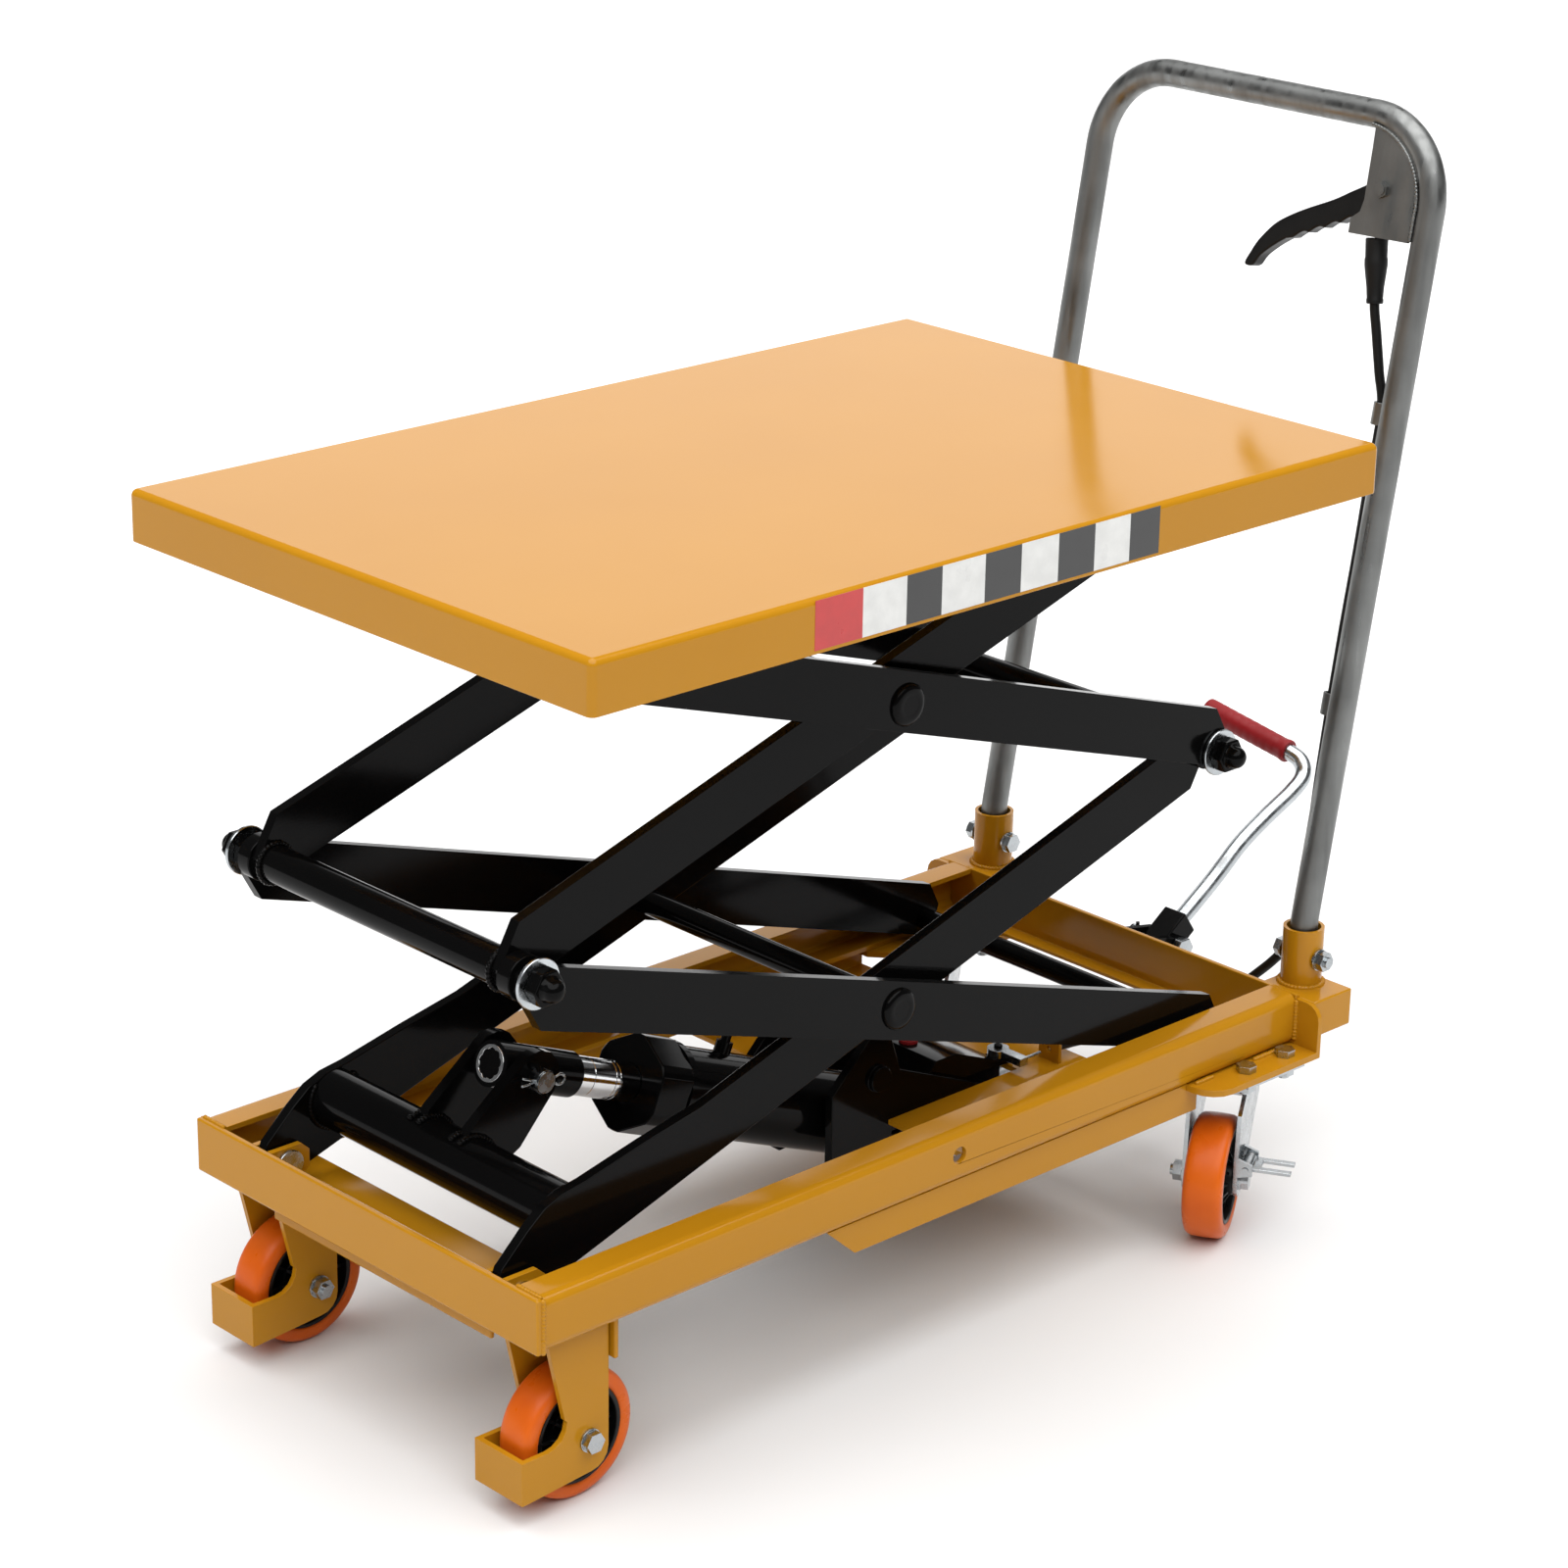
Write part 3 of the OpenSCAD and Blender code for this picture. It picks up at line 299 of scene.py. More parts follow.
def tube(path, radius, sides=24, round_ends=0.0):
    """A closed tube along the path. The radius is a number or a function of the place from 0 to 1."""
    bm = bmesh.new()
    count = len(path)
    normal = None
    rings = []
    for i, point in enumerate(path):
        along = (path[min(i + 1, count - 1)] - path[max(i - 1, 0)]).normalized()
        normal = across(along)[0] if normal is None else (normal - along * normal.dot(along)).normalized()
        other = along.cross(normal)
        r = radius(i / (count - 1)) if callable(radius) else radius
        rings.append([
            bm.verts.new(point + r * (math.cos(t) * normal + math.sin(t) * other))
            for t in (2 * math.pi * k / sides for k in range(sides))
        ])
    for low, high in zip(rings, rings[1:]):
        for k in range(sides):
            bm.faces.new((low[k], low[(k + 1) % sides], high[(k + 1) % sides], high[k]))
    for ring, point, inner in ((rings[0], path[0], path[1]), (rings[-1], path[-1], path[-2])):
        out = (point - inner).normalized() * round_ends
        if round_ends:
            mid = [bm.verts.new(point + (v.co - point) * 0.75 + out * 0.75) for v in ring]
            for k in range(sides):
                bm.faces.new((ring[k], ring[(k + 1) % sides], mid[(k + 1) % sides], mid[k]))
            ring = mid
        tip = bm.verts.new(point + out)
        for k in range(sides):
            bm.faces.new((ring[k], ring[(k + 1) % sides], tip))
    return bm


def weld(name, path, radius, body, slot, pitch=2.6 * MM):
    """A weld bead: a low tube with the ripples of the torch."""
    length = sum((b - a).length for a, b in zip(path, path[1:]))
    count = max(6, int(length / pitch * 4))
    marks = []
    for i in range(count + 1):
        want = length * i / count
        for a, b in zip(path, path[1:]):
            step = (b - a).length
            if want <= step or b is path[-1]:
                marks.append(a.lerp(b, min(1.0, want / step) if step else 0))
                break
            want -= step
    rng = random.Random(name)
    swell = [0.16 * math.sin(math.pi * i / 2) + rng.uniform(-0.1, 0.1) for i in range(count + 1)]
    sizes = [radius * (1 + more) for more in swell]
    bm = tube(marks, lambda t: sizes[min(count, int(t * count + 0.5))], 10, radius * 0.8)
    return add(name, from_bmesh(bm), body, slot, (), 180)


def ring_path(centre, axis, radius, start=0, end=360, steps=28):
    a, b = across(axis)
    return [
        centre + radius * (math.cos(t) * a + math.sin(t) * b)
        for t in (math.radians(start + (end - start) * k / steps) for k in range(steps + 1))
    ]


def prism(outline, place, low, high):
    """Extrudes an outline: place(a, b, c) gives the point of the outline's a and b at depth c."""
    bm = bmesh.new()
    near = [bm.verts.new(place(a, b, low)) for a, b in outline]
    far = [bm.verts.new(place(a, b, high)) for a, b in outline]
    bm.faces.new(near)
    bm.faces.new(far)
    for k in range(len(outline)):
        n = (k + 1) % len(outline)
        bm.faces.new((near[k], near[n], far[n], far[k]))
    return bm


def hexagon(width):
    r = width / 2 / math.cos(math.radians(30))
    return [(r * math.cos(math.radians(60 * k)), r * math.sin(math.radians(60 * k))) for k in range(6)]


def in_mm(profile):
    return [(a * MM, r * MM) for a, r in profile]


def both_ways(half):
    """A wheel's profile from its half on one side of the middle plane, in millimetres."""
    return [(-a * MM, r * MM) for a, r in half] + [(a * MM, r * MM) for a, r in reversed(half)]


def arc(centre, radius, start, end, steps=8):
    return [
        (centre[0] + radius * math.cos(t), centre[1] + radius * math.sin(t))
        for t in (math.radians(start + (end - start) * k / steps) for k in range(steps + 1))
    ]


SIDES = {"left": -1, "right": 1}
DECK_X = (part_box("deck")[0].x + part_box("deck")[1].x) / 2


def at_deck(x, y, z):
    """A point in millimetres whose x counts from the middle of the deck."""
    return Vector((DECK_X + x * MM, y * MM, z * MM))


# ---------- wheels ----------
RIB_COUNT = 10
RIB_HALF = 1.1 * MM
FRONT_BOSS, CASTER_BOSS = 18.0, 16.5
TYRE = [(13.0, 34.0), (13.9, 34.7), (14.4, 36.0), (14.5, 38.6), (14.2, 40.6), (13.4, 42.4), (12.0, 43.8),
        (10.0, 44.55), (7.0, 44.85), (3.0, 44.97), (0.35, 45.0)]


def hub_profile(boss):
    half = [(13.6, 34.0), (13.9, 33.5), (13.9, 31.6), (13.2, 30.9), (5.0, 30.2), (3.2, 28.6), (2.6, 26.0),
            (2.6, 16.5), (3.4, 14.2), (5.0, 13.2), (boss - 0.6, 12.4), (boss, 11.8), (boss, 4.4)]
    return both_ways(half)


def make_hub(name, body, centre, axis, boss):
    bm = lathe(hub_profile(boss), centre, axis, 72)
    a, b = across(axis)
    for k in range(RIB_COUNT):
        t = 2 * math.pi * k / RIB_COUNT
        out, sideways = math.cos(t) * a + math.sin(t) * b, -math.sin(t) * a + math.cos(t) * b
        for sign in (-1, 1):
            outline = [(12.2, 2.2), (12.2, boss - 2.5), (20, 9.5), (30.8, 8.6), (30.8, 2.2)]
            place = lambda r, along, c: centre + out * r * MM + axis * sign * along * MM + sideways * c
            mesh = from_bmesh(prism(outline, place, -RIB_HALF, RIB_HALF))
            bm.from_mesh(mesh)
            bpy.data.meshes.remove(mesh)
    return bevel(add(name + "_ribbed", from_bmesh(bm), body, "black_plastic", (name,), 34), 0.4 * MM)


def make_wheel(kind, which, boss):
    body = f"{kind}_wheel_{which}"
    centre, axis = joint_at(f"{body}_spin"), joint_axis(f"{body}_spin")
    tyre = lathe(both_ways(TYRE), centre, axis, 128)
    add(f"{kind}_tyre_{which}_cast", from_bmesh(tyre), body, "orange_tyre", (f"{kind}_tyre_{which}",), 60)
    make_hub(f"{kind}_hub_{which}", body, centre, axis, boss)


for which in SIDES:
    make_wheel("front", which, FRONT_BOSS)
    make_wheel("caster", which, CASTER_BOSS)

# ---------- handle ----------
LEAN = math.atan2(-joint_axis("release_squeeze").z, joint_axis("release_squeeze").x)
TUBE_R = 10 * MM
LEAN_R = CORNER_R = 60 * MM
socket_low, socket_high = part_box("handle_sockets")
LEG_X = (socket_low.x + socket_high.x) / 2
SOCKET_R = 15 * MM
LEG_Y = socket_high.y - SOCKET_R
BEND_Z = 209 * MM
OVERLAP = 2 * MM  # straight runs end this far short of the bends
FOOT_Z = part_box("handle")[0].z
BAR_Z = round(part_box("handle")[1].z - TUBE_R, 3)
BAR_S = (BAR_Z - BEND_Z) / math.cos(LEAN)


def on_legs(y, s, off=0.0):
    """A point of the handle's plane: y across, s up along the leaning legs, off towards the operator."""
    return Vector((LEG_X + s * math.sin(LEAN) + off * math.cos(LEAN), y,
                   BEND_Z + s * math.cos(LEAN) - off * math.sin(LEAN)))


def handle_half(sign):
    y = sign * LEG_Y
    start = BEND_Z - LEAN_R * math.tan(LEAN / 2)
    points = [Vector((LEG_X, y, FOOT_Z)), Vector((LEG_X, y, start - OVERLAP / 2))]
    for k in range(7):
        t = LEAN * k / 6
        points.append(Vector((LEG_X + LEAN_R * (1 - math.cos(t)), y, start + LEAN_R * math.sin(t))))
    points.append(on_legs(y, BAR_S - CORNER_R - OVERLAP))
    for k in range(21):
        t = math.pi / 2 * k / 20
        inward, down = CORNER_R * (1 - math.cos(t)), CORNER_R * (1 - math.sin(t))
        points.append(on_legs(sign * (LEG_Y - inward), BAR_S - down))
    points.append(on_legs(sign * (LEG_Y - CORNER_R - OVERLAP), BAR_S))
    return points


handle_path = handle_half(1) + handle_half(-1)[::-1]
add("handle_tube", from_bmesh(tube(handle_path, TUBE_R, 40)), "base", "grey_tube", ("handle",), 60)

# ---------- release lever, boot and cable ----------
LEVER_HALF = 5.5 * MM


def lever_outline():
    """Smooth back, a tail that turns down, and finger scallops underneath."""
    back = [(-127, 530.5), (-117, 534.5), (-107, 529), (-101, 524), (-87.6, 516.5), (-73.4, 508.5),
            (-51.3, 498.5), (-36.8, 491), (-24.2, 482.5), (-12.7, 469.5), (-7, 459.5), (-3.5, 452)]
    tip = [(-5.6, 449.5), (-11.6, 451)]
    under = [(-17, 459), (-27.4, 468), (-37, 474.5)]
    grooves = []
    for k in range(33):
        t = k / 32
        y, s = -43 - 52 * t, 476 + 22.5 * t
        dip = 2.8 * abs(math.sin(math.pi * 4 * t))
        grooves.append((y - 0.4 * dip, s + dip))
    heel = [(-103, 506), (-110, 511), (-117, 511.5), (-124, 511.5), (-129, 515)]
    outer = smooth_path([Vector((a, b, 0)) for a, b in back + tip + under], 4)
    return in_mm([(p.x, p.y) for p in outer] + grooves + heel)


lever_mesh = from_bmesh(prism(lever_outline(), on_legs, -LEVER_HALF, LEVER_HALF))
lever = add("release_lever_moulded", lever_mesh, "release_grip", "black_plastic", ("release_lever",), 34)
bevel(lever, 2.2 * MM, 4)

BOOT_Y, BOOT_S, BOOT_TILT = -121 * MM, 443 * MM, math.radians(10)
boot_foot = on_legs(BOOT_Y, BOOT_S)
boot_axis = on_legs(BOOT_Y + math.sin(BOOT_TILT), BOOT_S + math.cos(BOOT_TILT)) - boot_foot
boot = [(0, 4.3), (0, 5.5), (0.7, 6.0), (3, 6.1), (4, 5.8), (12, 6.3), (22, 7.6), (27, 8.2), (31, 8.2), (33, 7.8),
        (41, 7.9), (45.2, 8.0), (46, 7.4), (46, 4.3)]
boot_mesh = from_bmesh(lathe(in_mm(boot), boot_foot, boot_axis, 40))
add("cable_boot_moulded", boot_mesh, "base", "black_rubber", ("cable_boot",), 30)

CABLE_R = 3.5 * MM
CABLE_ROUTE = [
    (467.8, -119.4, 654.3), (465.6, -121.6, 642.4), (464, -126, 626), (461, -133, 600), (458, -140, 572),
    (449, -140, 520), (441, -140, 470), (432, -140, 420), (423, -140, 364), (414, -141, 310), (407, -142, 260),
    (403, -141, 225), (402, -139, 200), (402, -132, 180), (402, -119, 163), (400, -104, 147), (395, -90, 132),
    (385, -79, 120), (367, -72, 115), (345, -66, 113), (320, -62, 113), (300, -59, 114), (275, -55, 116),
    (255, -52, 117), (242, -50, 117),
]
cable_path = smooth_path([at_deck(*p) for p in CABLE_ROUTE], 8)
cable_mesh = from_bmesh(tube(cable_path, CABLE_R, 18))
add("release_cable_sheath", cable_mesh, "base", "black_rubber", ("release_cable",), 60)

# ---------- foot pedal ----------
pedal_pin = joint_at("foot_pedal")
PEDAL_SLOPE = math.radians(35)
PEDAL_BACK = math.radians(20)
BLOCK_HALF = 10.4


def pedal_block(a, b, c):
    """a runs out along the rod, b square to it and c across, from the pedal's pin."""
    ca, sa = math.cos(PEDAL_SLOPE), math.sin(PEDAL_SLOPE)
    return pedal_pin + Vector((a * ca - b * sa, c, a * sa + b * ca)) * MM


block = prism([(-12, -10.3), (24, -10.3), (24, 10.3), (-12, 10.3)], pedal_block, -BLOCK_HALF, BLOCK_HALF)
bevel(add("pedal_block", from_bmesh(block), "pedal", "black_paint", ("pedal_lever",), 30), 1.2 * MM, 3)
lug_side = Vector((math.cos(PEDAL_BACK), 0, math.sin(PEDAL_BACK)))
lug_along = Vector((math.sin(PEDAL_BACK), 0, -math.cos(PEDAL_BACK)))
lug_outline = [(-6, 4), (-6, 48)] + arc((0, 54), 8, 205, -25, 14) + [(6, 48), (6, 4)]
LUG_HALF = 8
lug = prism(
    lug_outline,
    lambda a, b, c: pedal_pin + (lug_side * a + lug_along * b) * MM + Y * c * MM,
    -LUG_HALF,
    LUG_HALF,
)
bevel(add("pedal_lug", from_bmesh(lug), "pedal", "black_paint", (), 34), 1.0 * MM)

EAR_OUT, PIN_HEAD = 16 * MM, 7.2 * MM
pin_head = prism(
    hexagon(16.3 * MM),
    lambda a, b, c: pedal_pin + Vector((a, -c, b)),
    EAR_OUT,
    EAR_OUT + PIN_HEAD,
)
bevel(add("pedal_pin_head", from_bmesh(pin_head), "base", "zinc_plate", (), 20), 0.8 * MM, 3)
pin_tail = [(0, 0), (0, 5.1), (12.6, 5.1), (14.2, 4.0), (14.2, 0)]
pin_tail_mesh = from_bmesh(lathe(in_mm(pin_tail), pedal_pin + Y * EAR_OUT, Y, 40))
add("pedal_pin_tail", pin_tail_mesh, "base", "zinc_plate", (), 30)

ROD_THICK = 6.5 * MM
GRIP_FROM = 7  # the point of the route where the sleeve starts
PEDAL_ROUTE = [
    (425, 0, 143), (470, 0, 172), (500, 0, 194), (530, 0, 209.5), (558, 0, 222), (572, 1, 231), (577, 7, 240),
    (577, 20, 245.5), (577, 60, 252), (577, 100, 258.5),
]
pedal_path = smooth_path([at_deck(*p) for p in PEDAL_ROUTE], 10)
add("pedal_rod", from_bmesh(tube(pedal_path, ROD_THICK, 32)), "pedal", "zinc_plate", (), 60)
grip_start, grip_end = at_deck(*PEDAL_ROUTE[GRIP_FROM]), at_deck(*PEDAL_ROUTE[-1])
grip_dir = (grip_end - grip_start).normalized()
GRIP_LEN = (grip_end - grip_start).length / MM + 4
grip = [(0, 0), (0, 6.6), (0, 8.7), (0.8, 9.1), (3.6, 9.0), (4.4, 8.5)]
for k in range(9):
    start = 8 * (k + 1)
    grip += [(start, 8.5), (start + 0.8, 8.35), (start + 2.2, 8.35), (start + 3.0, 8.5)]
grip += [(GRIP_LEN - 4, 8.5), (GRIP_LEN - 1.2, 8.3), (GRIP_LEN - 0.2, 7.0), (GRIP_LEN, 4.5), (GRIP_LEN, 0)]
grip_mesh = from_bmesh(lathe(in_mm(grip), grip_start, grip_dir, 48))
add("pedal_grip_sleeve", grip_mesh, "pedal", "red_rubber", ("pedal_grip",), 50)

# ---------- ram ----------
ram_pin = joint_at("ram_pin_joint")
ram_dir = joint_axis("ram_slide")
ram_up = ram_dir.cross(Y).normalized()
if ram_up.z < 0:
    ram_up = -ram_up
ROD_R = 13.5 * MM
HEAD_END, ROD_END, PISTON_R, PISTON_LONG = 51 * MM, 205 * MM, 24.95 * MM, 20 * MM
rod = [(HEAD_END, 0), (HEAD_END, ROD_R)]
for mark in (64, 84, 88):
    rod += [((mark - 0.3) * MM, ROD_R), (mark * MM, ROD_R - 0.35 * MM), ((mark + 0.3) * MM, ROD_R)]
PISTON_END = ROD_END + PISTON_LONG
rod += [(ROD_END, ROD_R), (ROD_END, PISTON_R), (PISTON_END, PISTON_R), (PISTON_END, 0)]
add("piston_rod_ground", from_bmesh(lathe(rod, ram_pin, ram_dir, 72)), "ram", "chrome", ("piston_rod",), 30)

HEAD_FACE = -20 * MM
face_at = ram_pin + ram_dir * HEAD_FACE


def rosette(radius_low, radius_high, lobes, depth):
    """A bright lobed ring on the end face of the rod head."""
    bm = bmesh.new()
    steps = lobes * 12
    rings = []
    for level in (0, 1):
        for kind in (0, 1):
            ring = []
            for k in range(steps):
                t = 2 * math.pi * k / steps
                r = radius_high if kind else radius_low + 1.1 * MM * abs(math.cos(lobes * t / 2))
                out = math.cos(t) * Y + math.sin(t) * ram_up
                ring.append(bm.verts.new(face_at + out * r - ram_dir * (depth * level - 0.2 * MM)))
            rings.append(ring)
    for low, high in ((0, 1), (1, 3), (3, 2), (2, 0)):
        for k in range(steps):
            n = (k + 1) % steps
            bm.faces.new((rings[low][k], rings[low][n], rings[high][n], rings[high][k]))
    return bm


ring_mesh = from_bmesh(rosette(9.2 * MM, 12.6 * MM, 9, 0.9 * MM))
bevel(add("rod_head_ring", ring_mesh, "ram", "chrome"), 0.25 * MM)

pin_end = ram_pin - Y * 34 * MM
pin_cap = [(0, 0), (0, 7.3), (0.9, 8.15), (8.9, 8.15), (8.9, 0)]
pin_cap_mesh = from_bmesh(lathe(in_mm(pin_cap), pin_end - Y * 0.15 * MM, Y, 48))
add("ram_pin_end", pin_cap_mesh, "lower_inner", "zinc_plate", (), 30)
SPLIT_SLOPE = math.radians(-12)
split_at = ram_pin - Y * 30 * MM
split_way = Vector((math.cos(SPLIT_SLOPE), 0, math.sin(SPLIT_SLOPE)))
split_up = Vector((-split_way.z, 0, split_way.x))


def split_pin(sign):
    points = [(-17, 2.6 * sign), (-12, 1.6 * sign), (-8, 0.9 * sign), (8, 0.9 * sign), (11, 2.2 * sign),
              (14.5, 3.6 * sign), (18, 2.4 * sign), (19, 0)]
    path = [split_at + (split_way * a + split_up * b) * MM for a, b in points]
    return tube(smooth_path(path, 5), 0.95 * MM, 12, 0.6 * MM)


for leg, sign in (("low", -1), ("high", 1)):
    add(f"ram_split_pin_{leg}", from_bmesh(split_pin(sign)), "lower_inner", "zinc_plate", (), 60)

# ---------- middle joints: plated washers and domed nuts ----------
NUT_Y, NUT_H, NUT_WIDE, WASHER_T = 146.8 * MM, 10 * MM, 22 * MM, 2.5 * MM
DOME = [(9.4, 0), (9.4, 9.4), (10.6, 8.4)]
DOME += [(13 + 7.4 * math.sin(math.radians(t)), 7.9 * math.cos(math.radians(t))) for t in range(0, 90, 9)]
DOME += [(20.4, 0)]


def joint_nuts(node, body, centre):
    for which, sign in SIDES.items():
        out = Y * sign
        seat = centre + out * (NUT_Y - WASHER_T)
        washer = [(0, 8.3), (0, 16.1), (0.5, 16.6), (2.0, 16.6), (2.5, 16.1), (2.5, 8.3)]
        ring = lathe(in_mm(washer), seat, out, 64)
        add(f"{node}_washer_{which}", from_bmesh(ring), body, "zinc_plate", (node,), 30)
        a, b = across(out)
        place = lambda u, v, c: centre + out * c + a * u + b * v
        nut = prism(hexagon(NUT_WIDE), place, NUT_Y, NUT_Y + NUT_H)
        bevel(add(f"{node}_hex_{which}", from_bmesh(nut), body, "black_paint", (node,), 20), 1.2 * MM, 3)
        cap = lathe(in_mm(DOME), centre + out * NUT_Y, out, 56)
        add(f"{node}_dome_{which}", from_bmesh(cap), body, "black_paint", (node,), 30)


front_joint = joint_at("front_middle_joint")
lower_mid = joint_at("lower_crossing")
rear_joint = Vector((2 * lower_mid.x - front_joint.x, 0, front_joint.z))
joint_nuts("front_joint_nuts", "upper_inner", front_joint)
joint_nuts("rear_joint_nuts", "lower_inner", rear_joint)

# ---------- welds and pressed bosses ----------
base_pivot = Vector((front_joint.x, 0, 2 * lower_mid.z - front_joint.z))
upper_mid = Vector((lower_mid.x, 0, lower_mid.z + front_joint.z - base_pivot.z))
arm_way = (rear_joint - base_pivot).normalized()
arm_up = arm_way.cross(Y)
cross_tube = base_pivot + (arm_way * 52 + arm_up * 17) * MM
BOSS = [(0, 0), (0, 14.4), (1.1, 14.4), (2.4, 13.5), (3.4, 11.8), (3.8, 9.4), (3.3, 6.0), (2.9, 2.5), (2.9, 0)]
ARM_FACE = 144.1 * MM
FRONT_X, RAIL_TOP = -467, 164.9


def base_bead(name, path, radius):
    weld(name, path, radius, "base", "yellow_paint")


for which, sign in SIDES.items():
    # The bead stops short of the top, where the upper arm comes down beside it
    path = ring_path(cross_tube + Y * sign * 115.2 * MM, Y, 20.6 * MM, -40, 220, 36)
    weld(f"bead_cross_tube_{which}", path, 1.8 * MM, "lower_inner", "black_paint")
    for part, y in (("in", 16.5), ("out", 25.5)):
        path = ring_path(cross_tube + Y * sign * y * MM, Y, 20.6 * MM, 35, -112)
        weld(f"bead_lug_{part}_{which}", path, 2.2 * MM, "lower_inner", "black_paint")
    for rod, centre, body in (("front", front_joint, "upper_inner"), ("rear", rear_joint, "lower_inner")):
        path = ring_path(centre + Y * sign * 115 * MM, Y, 13.4 * MM)
        weld(f"bead_{rod}_rod_{which}", path, 1.8 * MM, body, "black_paint")
    socket_foot = Vector((LEG_X, sign * LEG_Y, 162.3 * MM))
    base_bead(f"bead_socket_{which}", ring_path(socket_foot, Z, 15.8 * MM), 1.9 * MM)
    corner = [Vector((FRONT_X, sign * 174.6, 128)) * MM, Vector((FRONT_X, sign * 174.6, 163.5)) * MM]
    base_bead(f"bead_front_corner_{which}", corner, 1.7 * MM)
    top_edge = [Vector((FRONT_X, sign * 172, RAIL_TOP)) * MM, Vector((FRONT_X, sign * 151, RAIL_TOP)) * MM]
    base_bead(f"bead_front_top_{which}", top_edge, 1.6 * MM)
    for k, (start, end) in enumerate(((256, 272), (318, 352))):
        path = [at_deck(start, sign * 175.4, 127.2), at_deck(end, sign * 175.4, 127.2)]
        base_bead(f"bead_mount_{k}_{which}", path, 1.9 * MM)
    flange = [at_deck(361, sign * 175.6, 131), at_deck(361, sign * 175.6, 160)]
    base_bead(f"bead_flange_{which}", flange, 1.8 * MM)
    for level, centre, body in (("lower", lower_mid, "lower_inner"), ("upper", upper_mid, "upper_inner")):
        boss = from_bmesh(lathe(in_mm(BOSS), centre + Y * sign * ARM_FACE, Y * sign, 48))
        add(f"centre_boss_{level}_{which}", boss, body, "black_paint", (), 60)

BRACKET_BACK = -9.2 * MM
bracket_line = [(-148, 492), (-148, 512)] + arc((-95, 512.5), 53.3, 178, 95, 12)
bracket_bead = [on_legs(y, s, BRACKET_BACK) for y, s in in_mm(bracket_line)]
weld("bead_lever_bracket", bracket_bead, 1.3 * MM, "base", "grey_tube")


# ---------- plain coloured strip on the deck's side ----------
def printed(name, colour):
    s = Shader(name, colour, roughness=0.3, Coat_Weight=0.4, Coat_Roughness=0.1)
    s.to("Base Color", s.ramp(s.noise(90, 3), [(0.35, tuple(0.9 * c for c in colour)), (0.65, colour)]))
    s.to("Roughness", s.span(s.noise(50, 3), 0.26, 0.36, 0.3, 0.7))
    s.bump(s.noise(600, 2), 0.00002, 0.2)
    return s.material


FILM = {"red": printed("red_film", (0.52, 0.02, 0.02)), "white": printed("white_film", (0.72, 0.72, 0.70)),
        "black": printed("black_film", (0.012, 0.012, 0.012))}
STRIP_LOW, STRIP_HIGH = 555.5 * MM, 586.8 * MM
STRIP = [(-297.5, "red"), (-258, "white"), (-221, "black"), (-190.7, "white"), (-153.1, "black"),
         (-120.9, "white"), (-87.3, "black"), (-54, "white"), (-21.1, "black"), (7, None)]
strip_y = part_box("deck")[0].y
for k, ((start, colour), (end, _)) in enumerate(zip(STRIP, STRIP[1:])):
    front, rear = start * MM, end * MM
    outline = [(front, STRIP_LOW), (rear, STRIP_LOW), (rear, STRIP_HIGH), (front, STRIP_HIGH)]
    mesh = from_bmesh(prism(outline, lambda a, b, c: Vector((a, strip_y - c, b)), -0.05 * MM, 0.16 * MM))
    film = bpy.data.objects.new(f"strip_{k}_{colour}", mesh)
    bpy.context.scene.collection.objects.link(film)
    mesh.materials.append(FILM[colour])
    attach(film, "platform")

pump_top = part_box("pump_block")[1].z
filler = [(-1, 0), (-1, 7.0), (1.6, 7.0), (2.2, 6.6), (2.4, 5.4), (3.0, 5.2), (3.5, 4.4), (3.5, 0)]
filler_mesh = from_bmesh(lathe(in_mm(filler), Vector((22 * MM, 0, pump_top)), Z, 40))
add("pump_filler_cap", filler_mesh, "base", "red_rubber", (), 40)

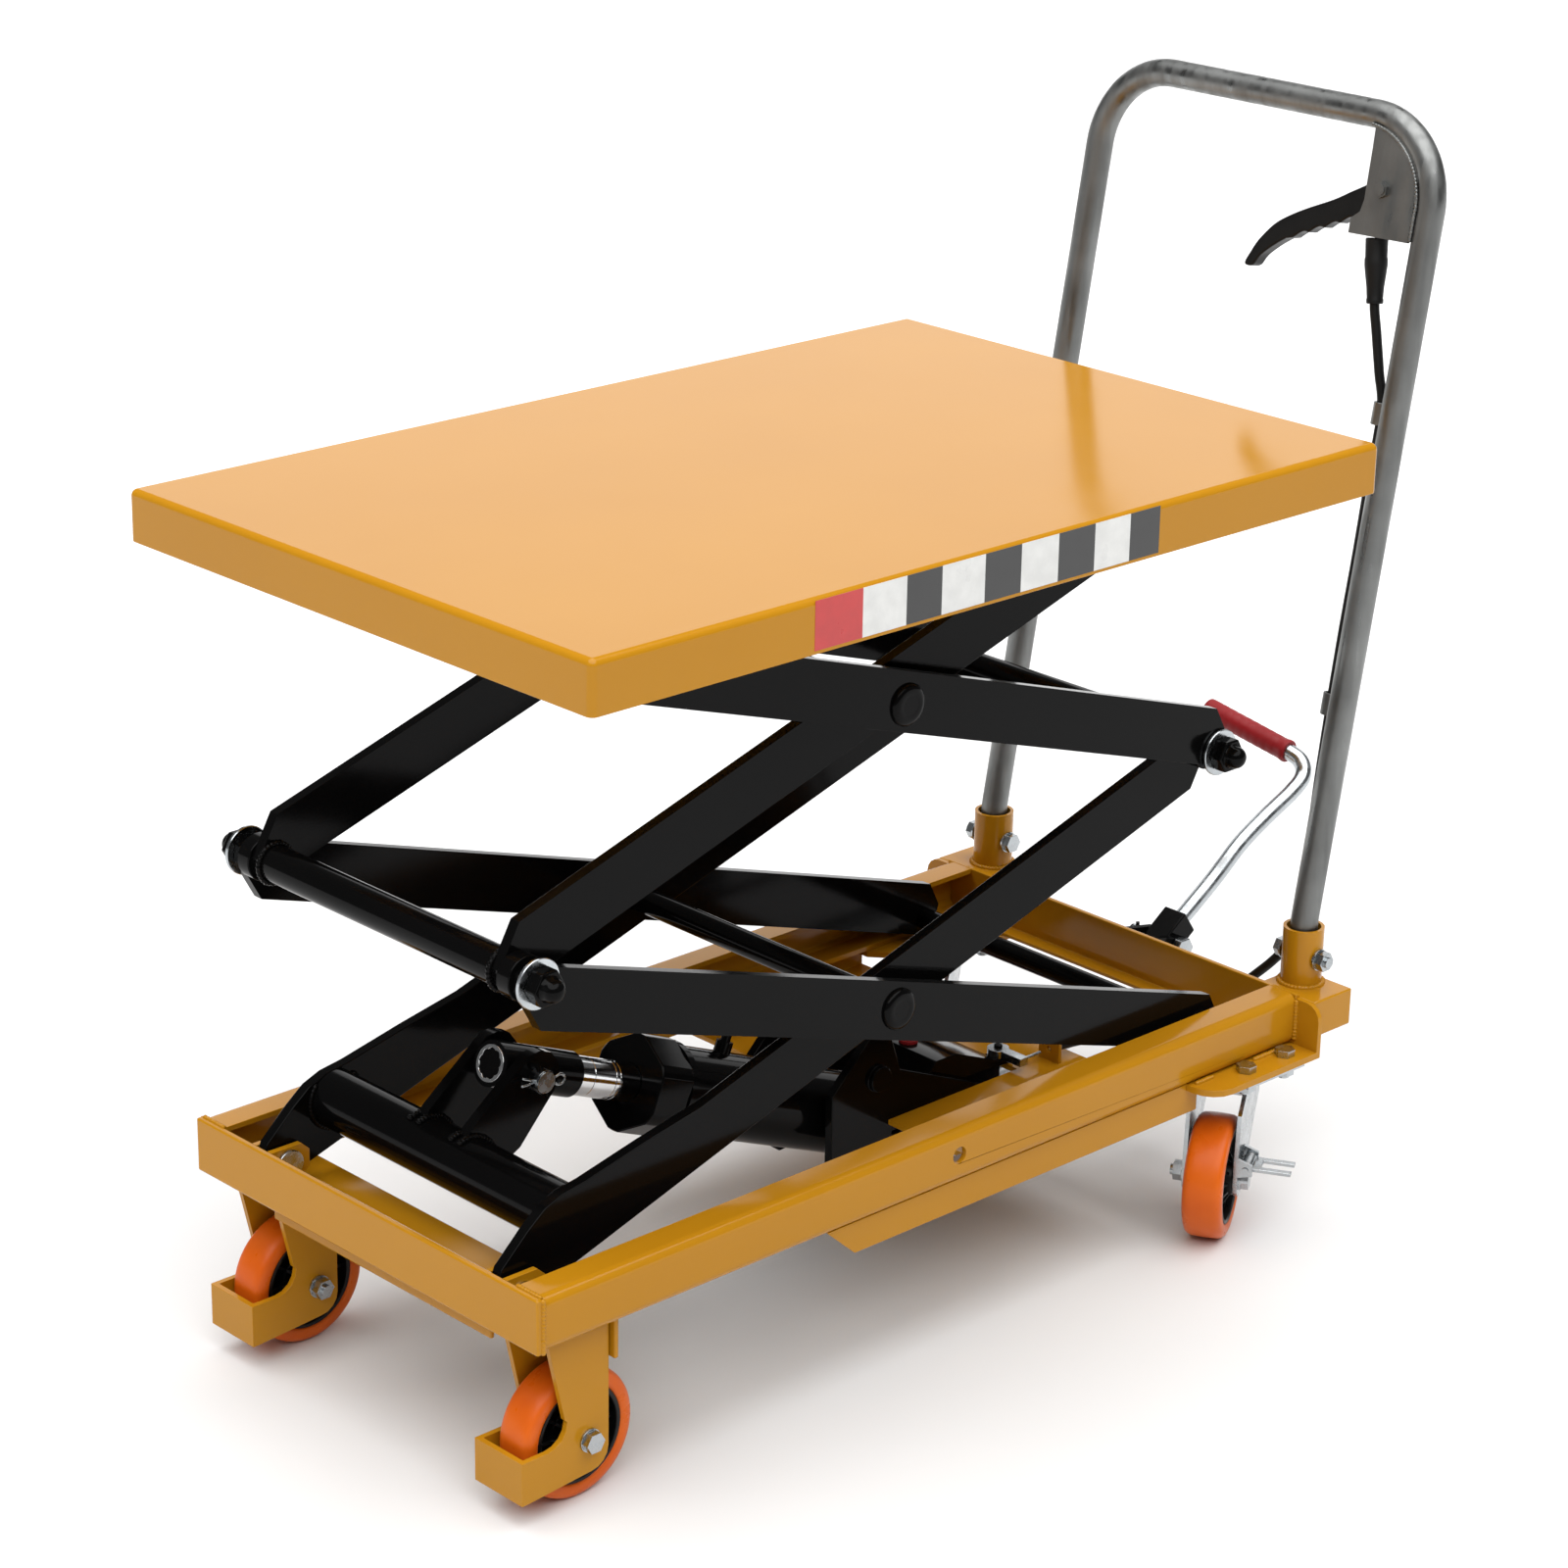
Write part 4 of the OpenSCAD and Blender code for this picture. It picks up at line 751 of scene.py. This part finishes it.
# ---------- every other node keeps its shape, with its edges broken ----------
REPLACED = {
    "handle", "release_cable", "cable_boot", "release_lever", "pedal_lever", "pedal_grip", "piston_rod",
    "front_joint_nuts", "rear_joint_nuts",
} | {f"{p}_{k}_{s}" for p in ("front", "caster") for k in ("tyre", "hub") for s in SIDES}
EDGE = {"gland_nut": 0.9 * MM, "deck": 1.0 * MM, "frame_bolts": 0.5 * MM, "cable_clips": 0.4 * MM,
        "side_rails": 1.2 * MM, "handle_boxes": 2.5 * MM, "front_wheel_brackets": 1.0 * MM,
        "caster_tops": 0.4 * MM, "pump_block": 0.8 * MM,
        "front_beam": 1.2 * MM, "caster_mounts": 0.9 * MM, "valve_arm": 0.3 * MM, "base_pins": 0.5 * MM}
USUAL_EDGE = 0.7 * MM
for node in sorted(set(NODES) - REPLACED):
    rounded(node, EDGE.get(node, USUAL_EDGE))

# ---------- floor and light ----------
floor_material = bpy.data.materials.new("pale_floor")
floor_material.use_nodes = True
floor_shader = floor_material.node_tree.nodes["Principled BSDF"]
floor_shader.inputs["Base Color"].default_value = (0.76, 0.76, 0.76, 1)
floor_shader.inputs["Roughness"].default_value = 0.7
bpy.ops.mesh.primitive_plane_add(size=160)
floor = bpy.context.object
floor.name = "floor"
floor.data.materials.append(floor_material)


def light(name, kind, energy, towards):
    data = bpy.data.lights.new(name, kind)
    data.energy = energy
    lamp = bpy.data.objects.new(name, data)
    lamp.rotation_euler = Vector(towards).to_track_quat("-Z", "Y").to_euler()
    bpy.context.scene.collection.objects.link(lamp)
    return lamp


def panel(name, place, target, size, power):
    lamp = light(name, "AREA", power, Vector(target) - Vector(place))
    lamp.location = place
    lamp.data.shape = "RECTANGLE"
    lamp.data.size, lamp.data.size_y = size


light("overhead", "SUN", 5.0, (0.12, 0.16, -1)).data.angle = math.radians(90)
panel("back_panel", (2.5, 2.3, 1.45), (0, 0, 0.5), (4.6, 1.7), 27)
panel("left_panel", (-2.6, 0.5, 1.2), (0, 0, 0.3), (1.4, 1.2), 1.5)
world = bpy.data.worlds.new("studio")
world.use_nodes = True
backdrop = world.node_tree.nodes["Background"]
backdrop.inputs["Color"].default_value = (1, 1, 1, 1)
backdrop.inputs["Strength"].default_value = 0.15
bpy.context.scene.world = world
bpy.context.scene.view_settings.view_transform = "Standard"
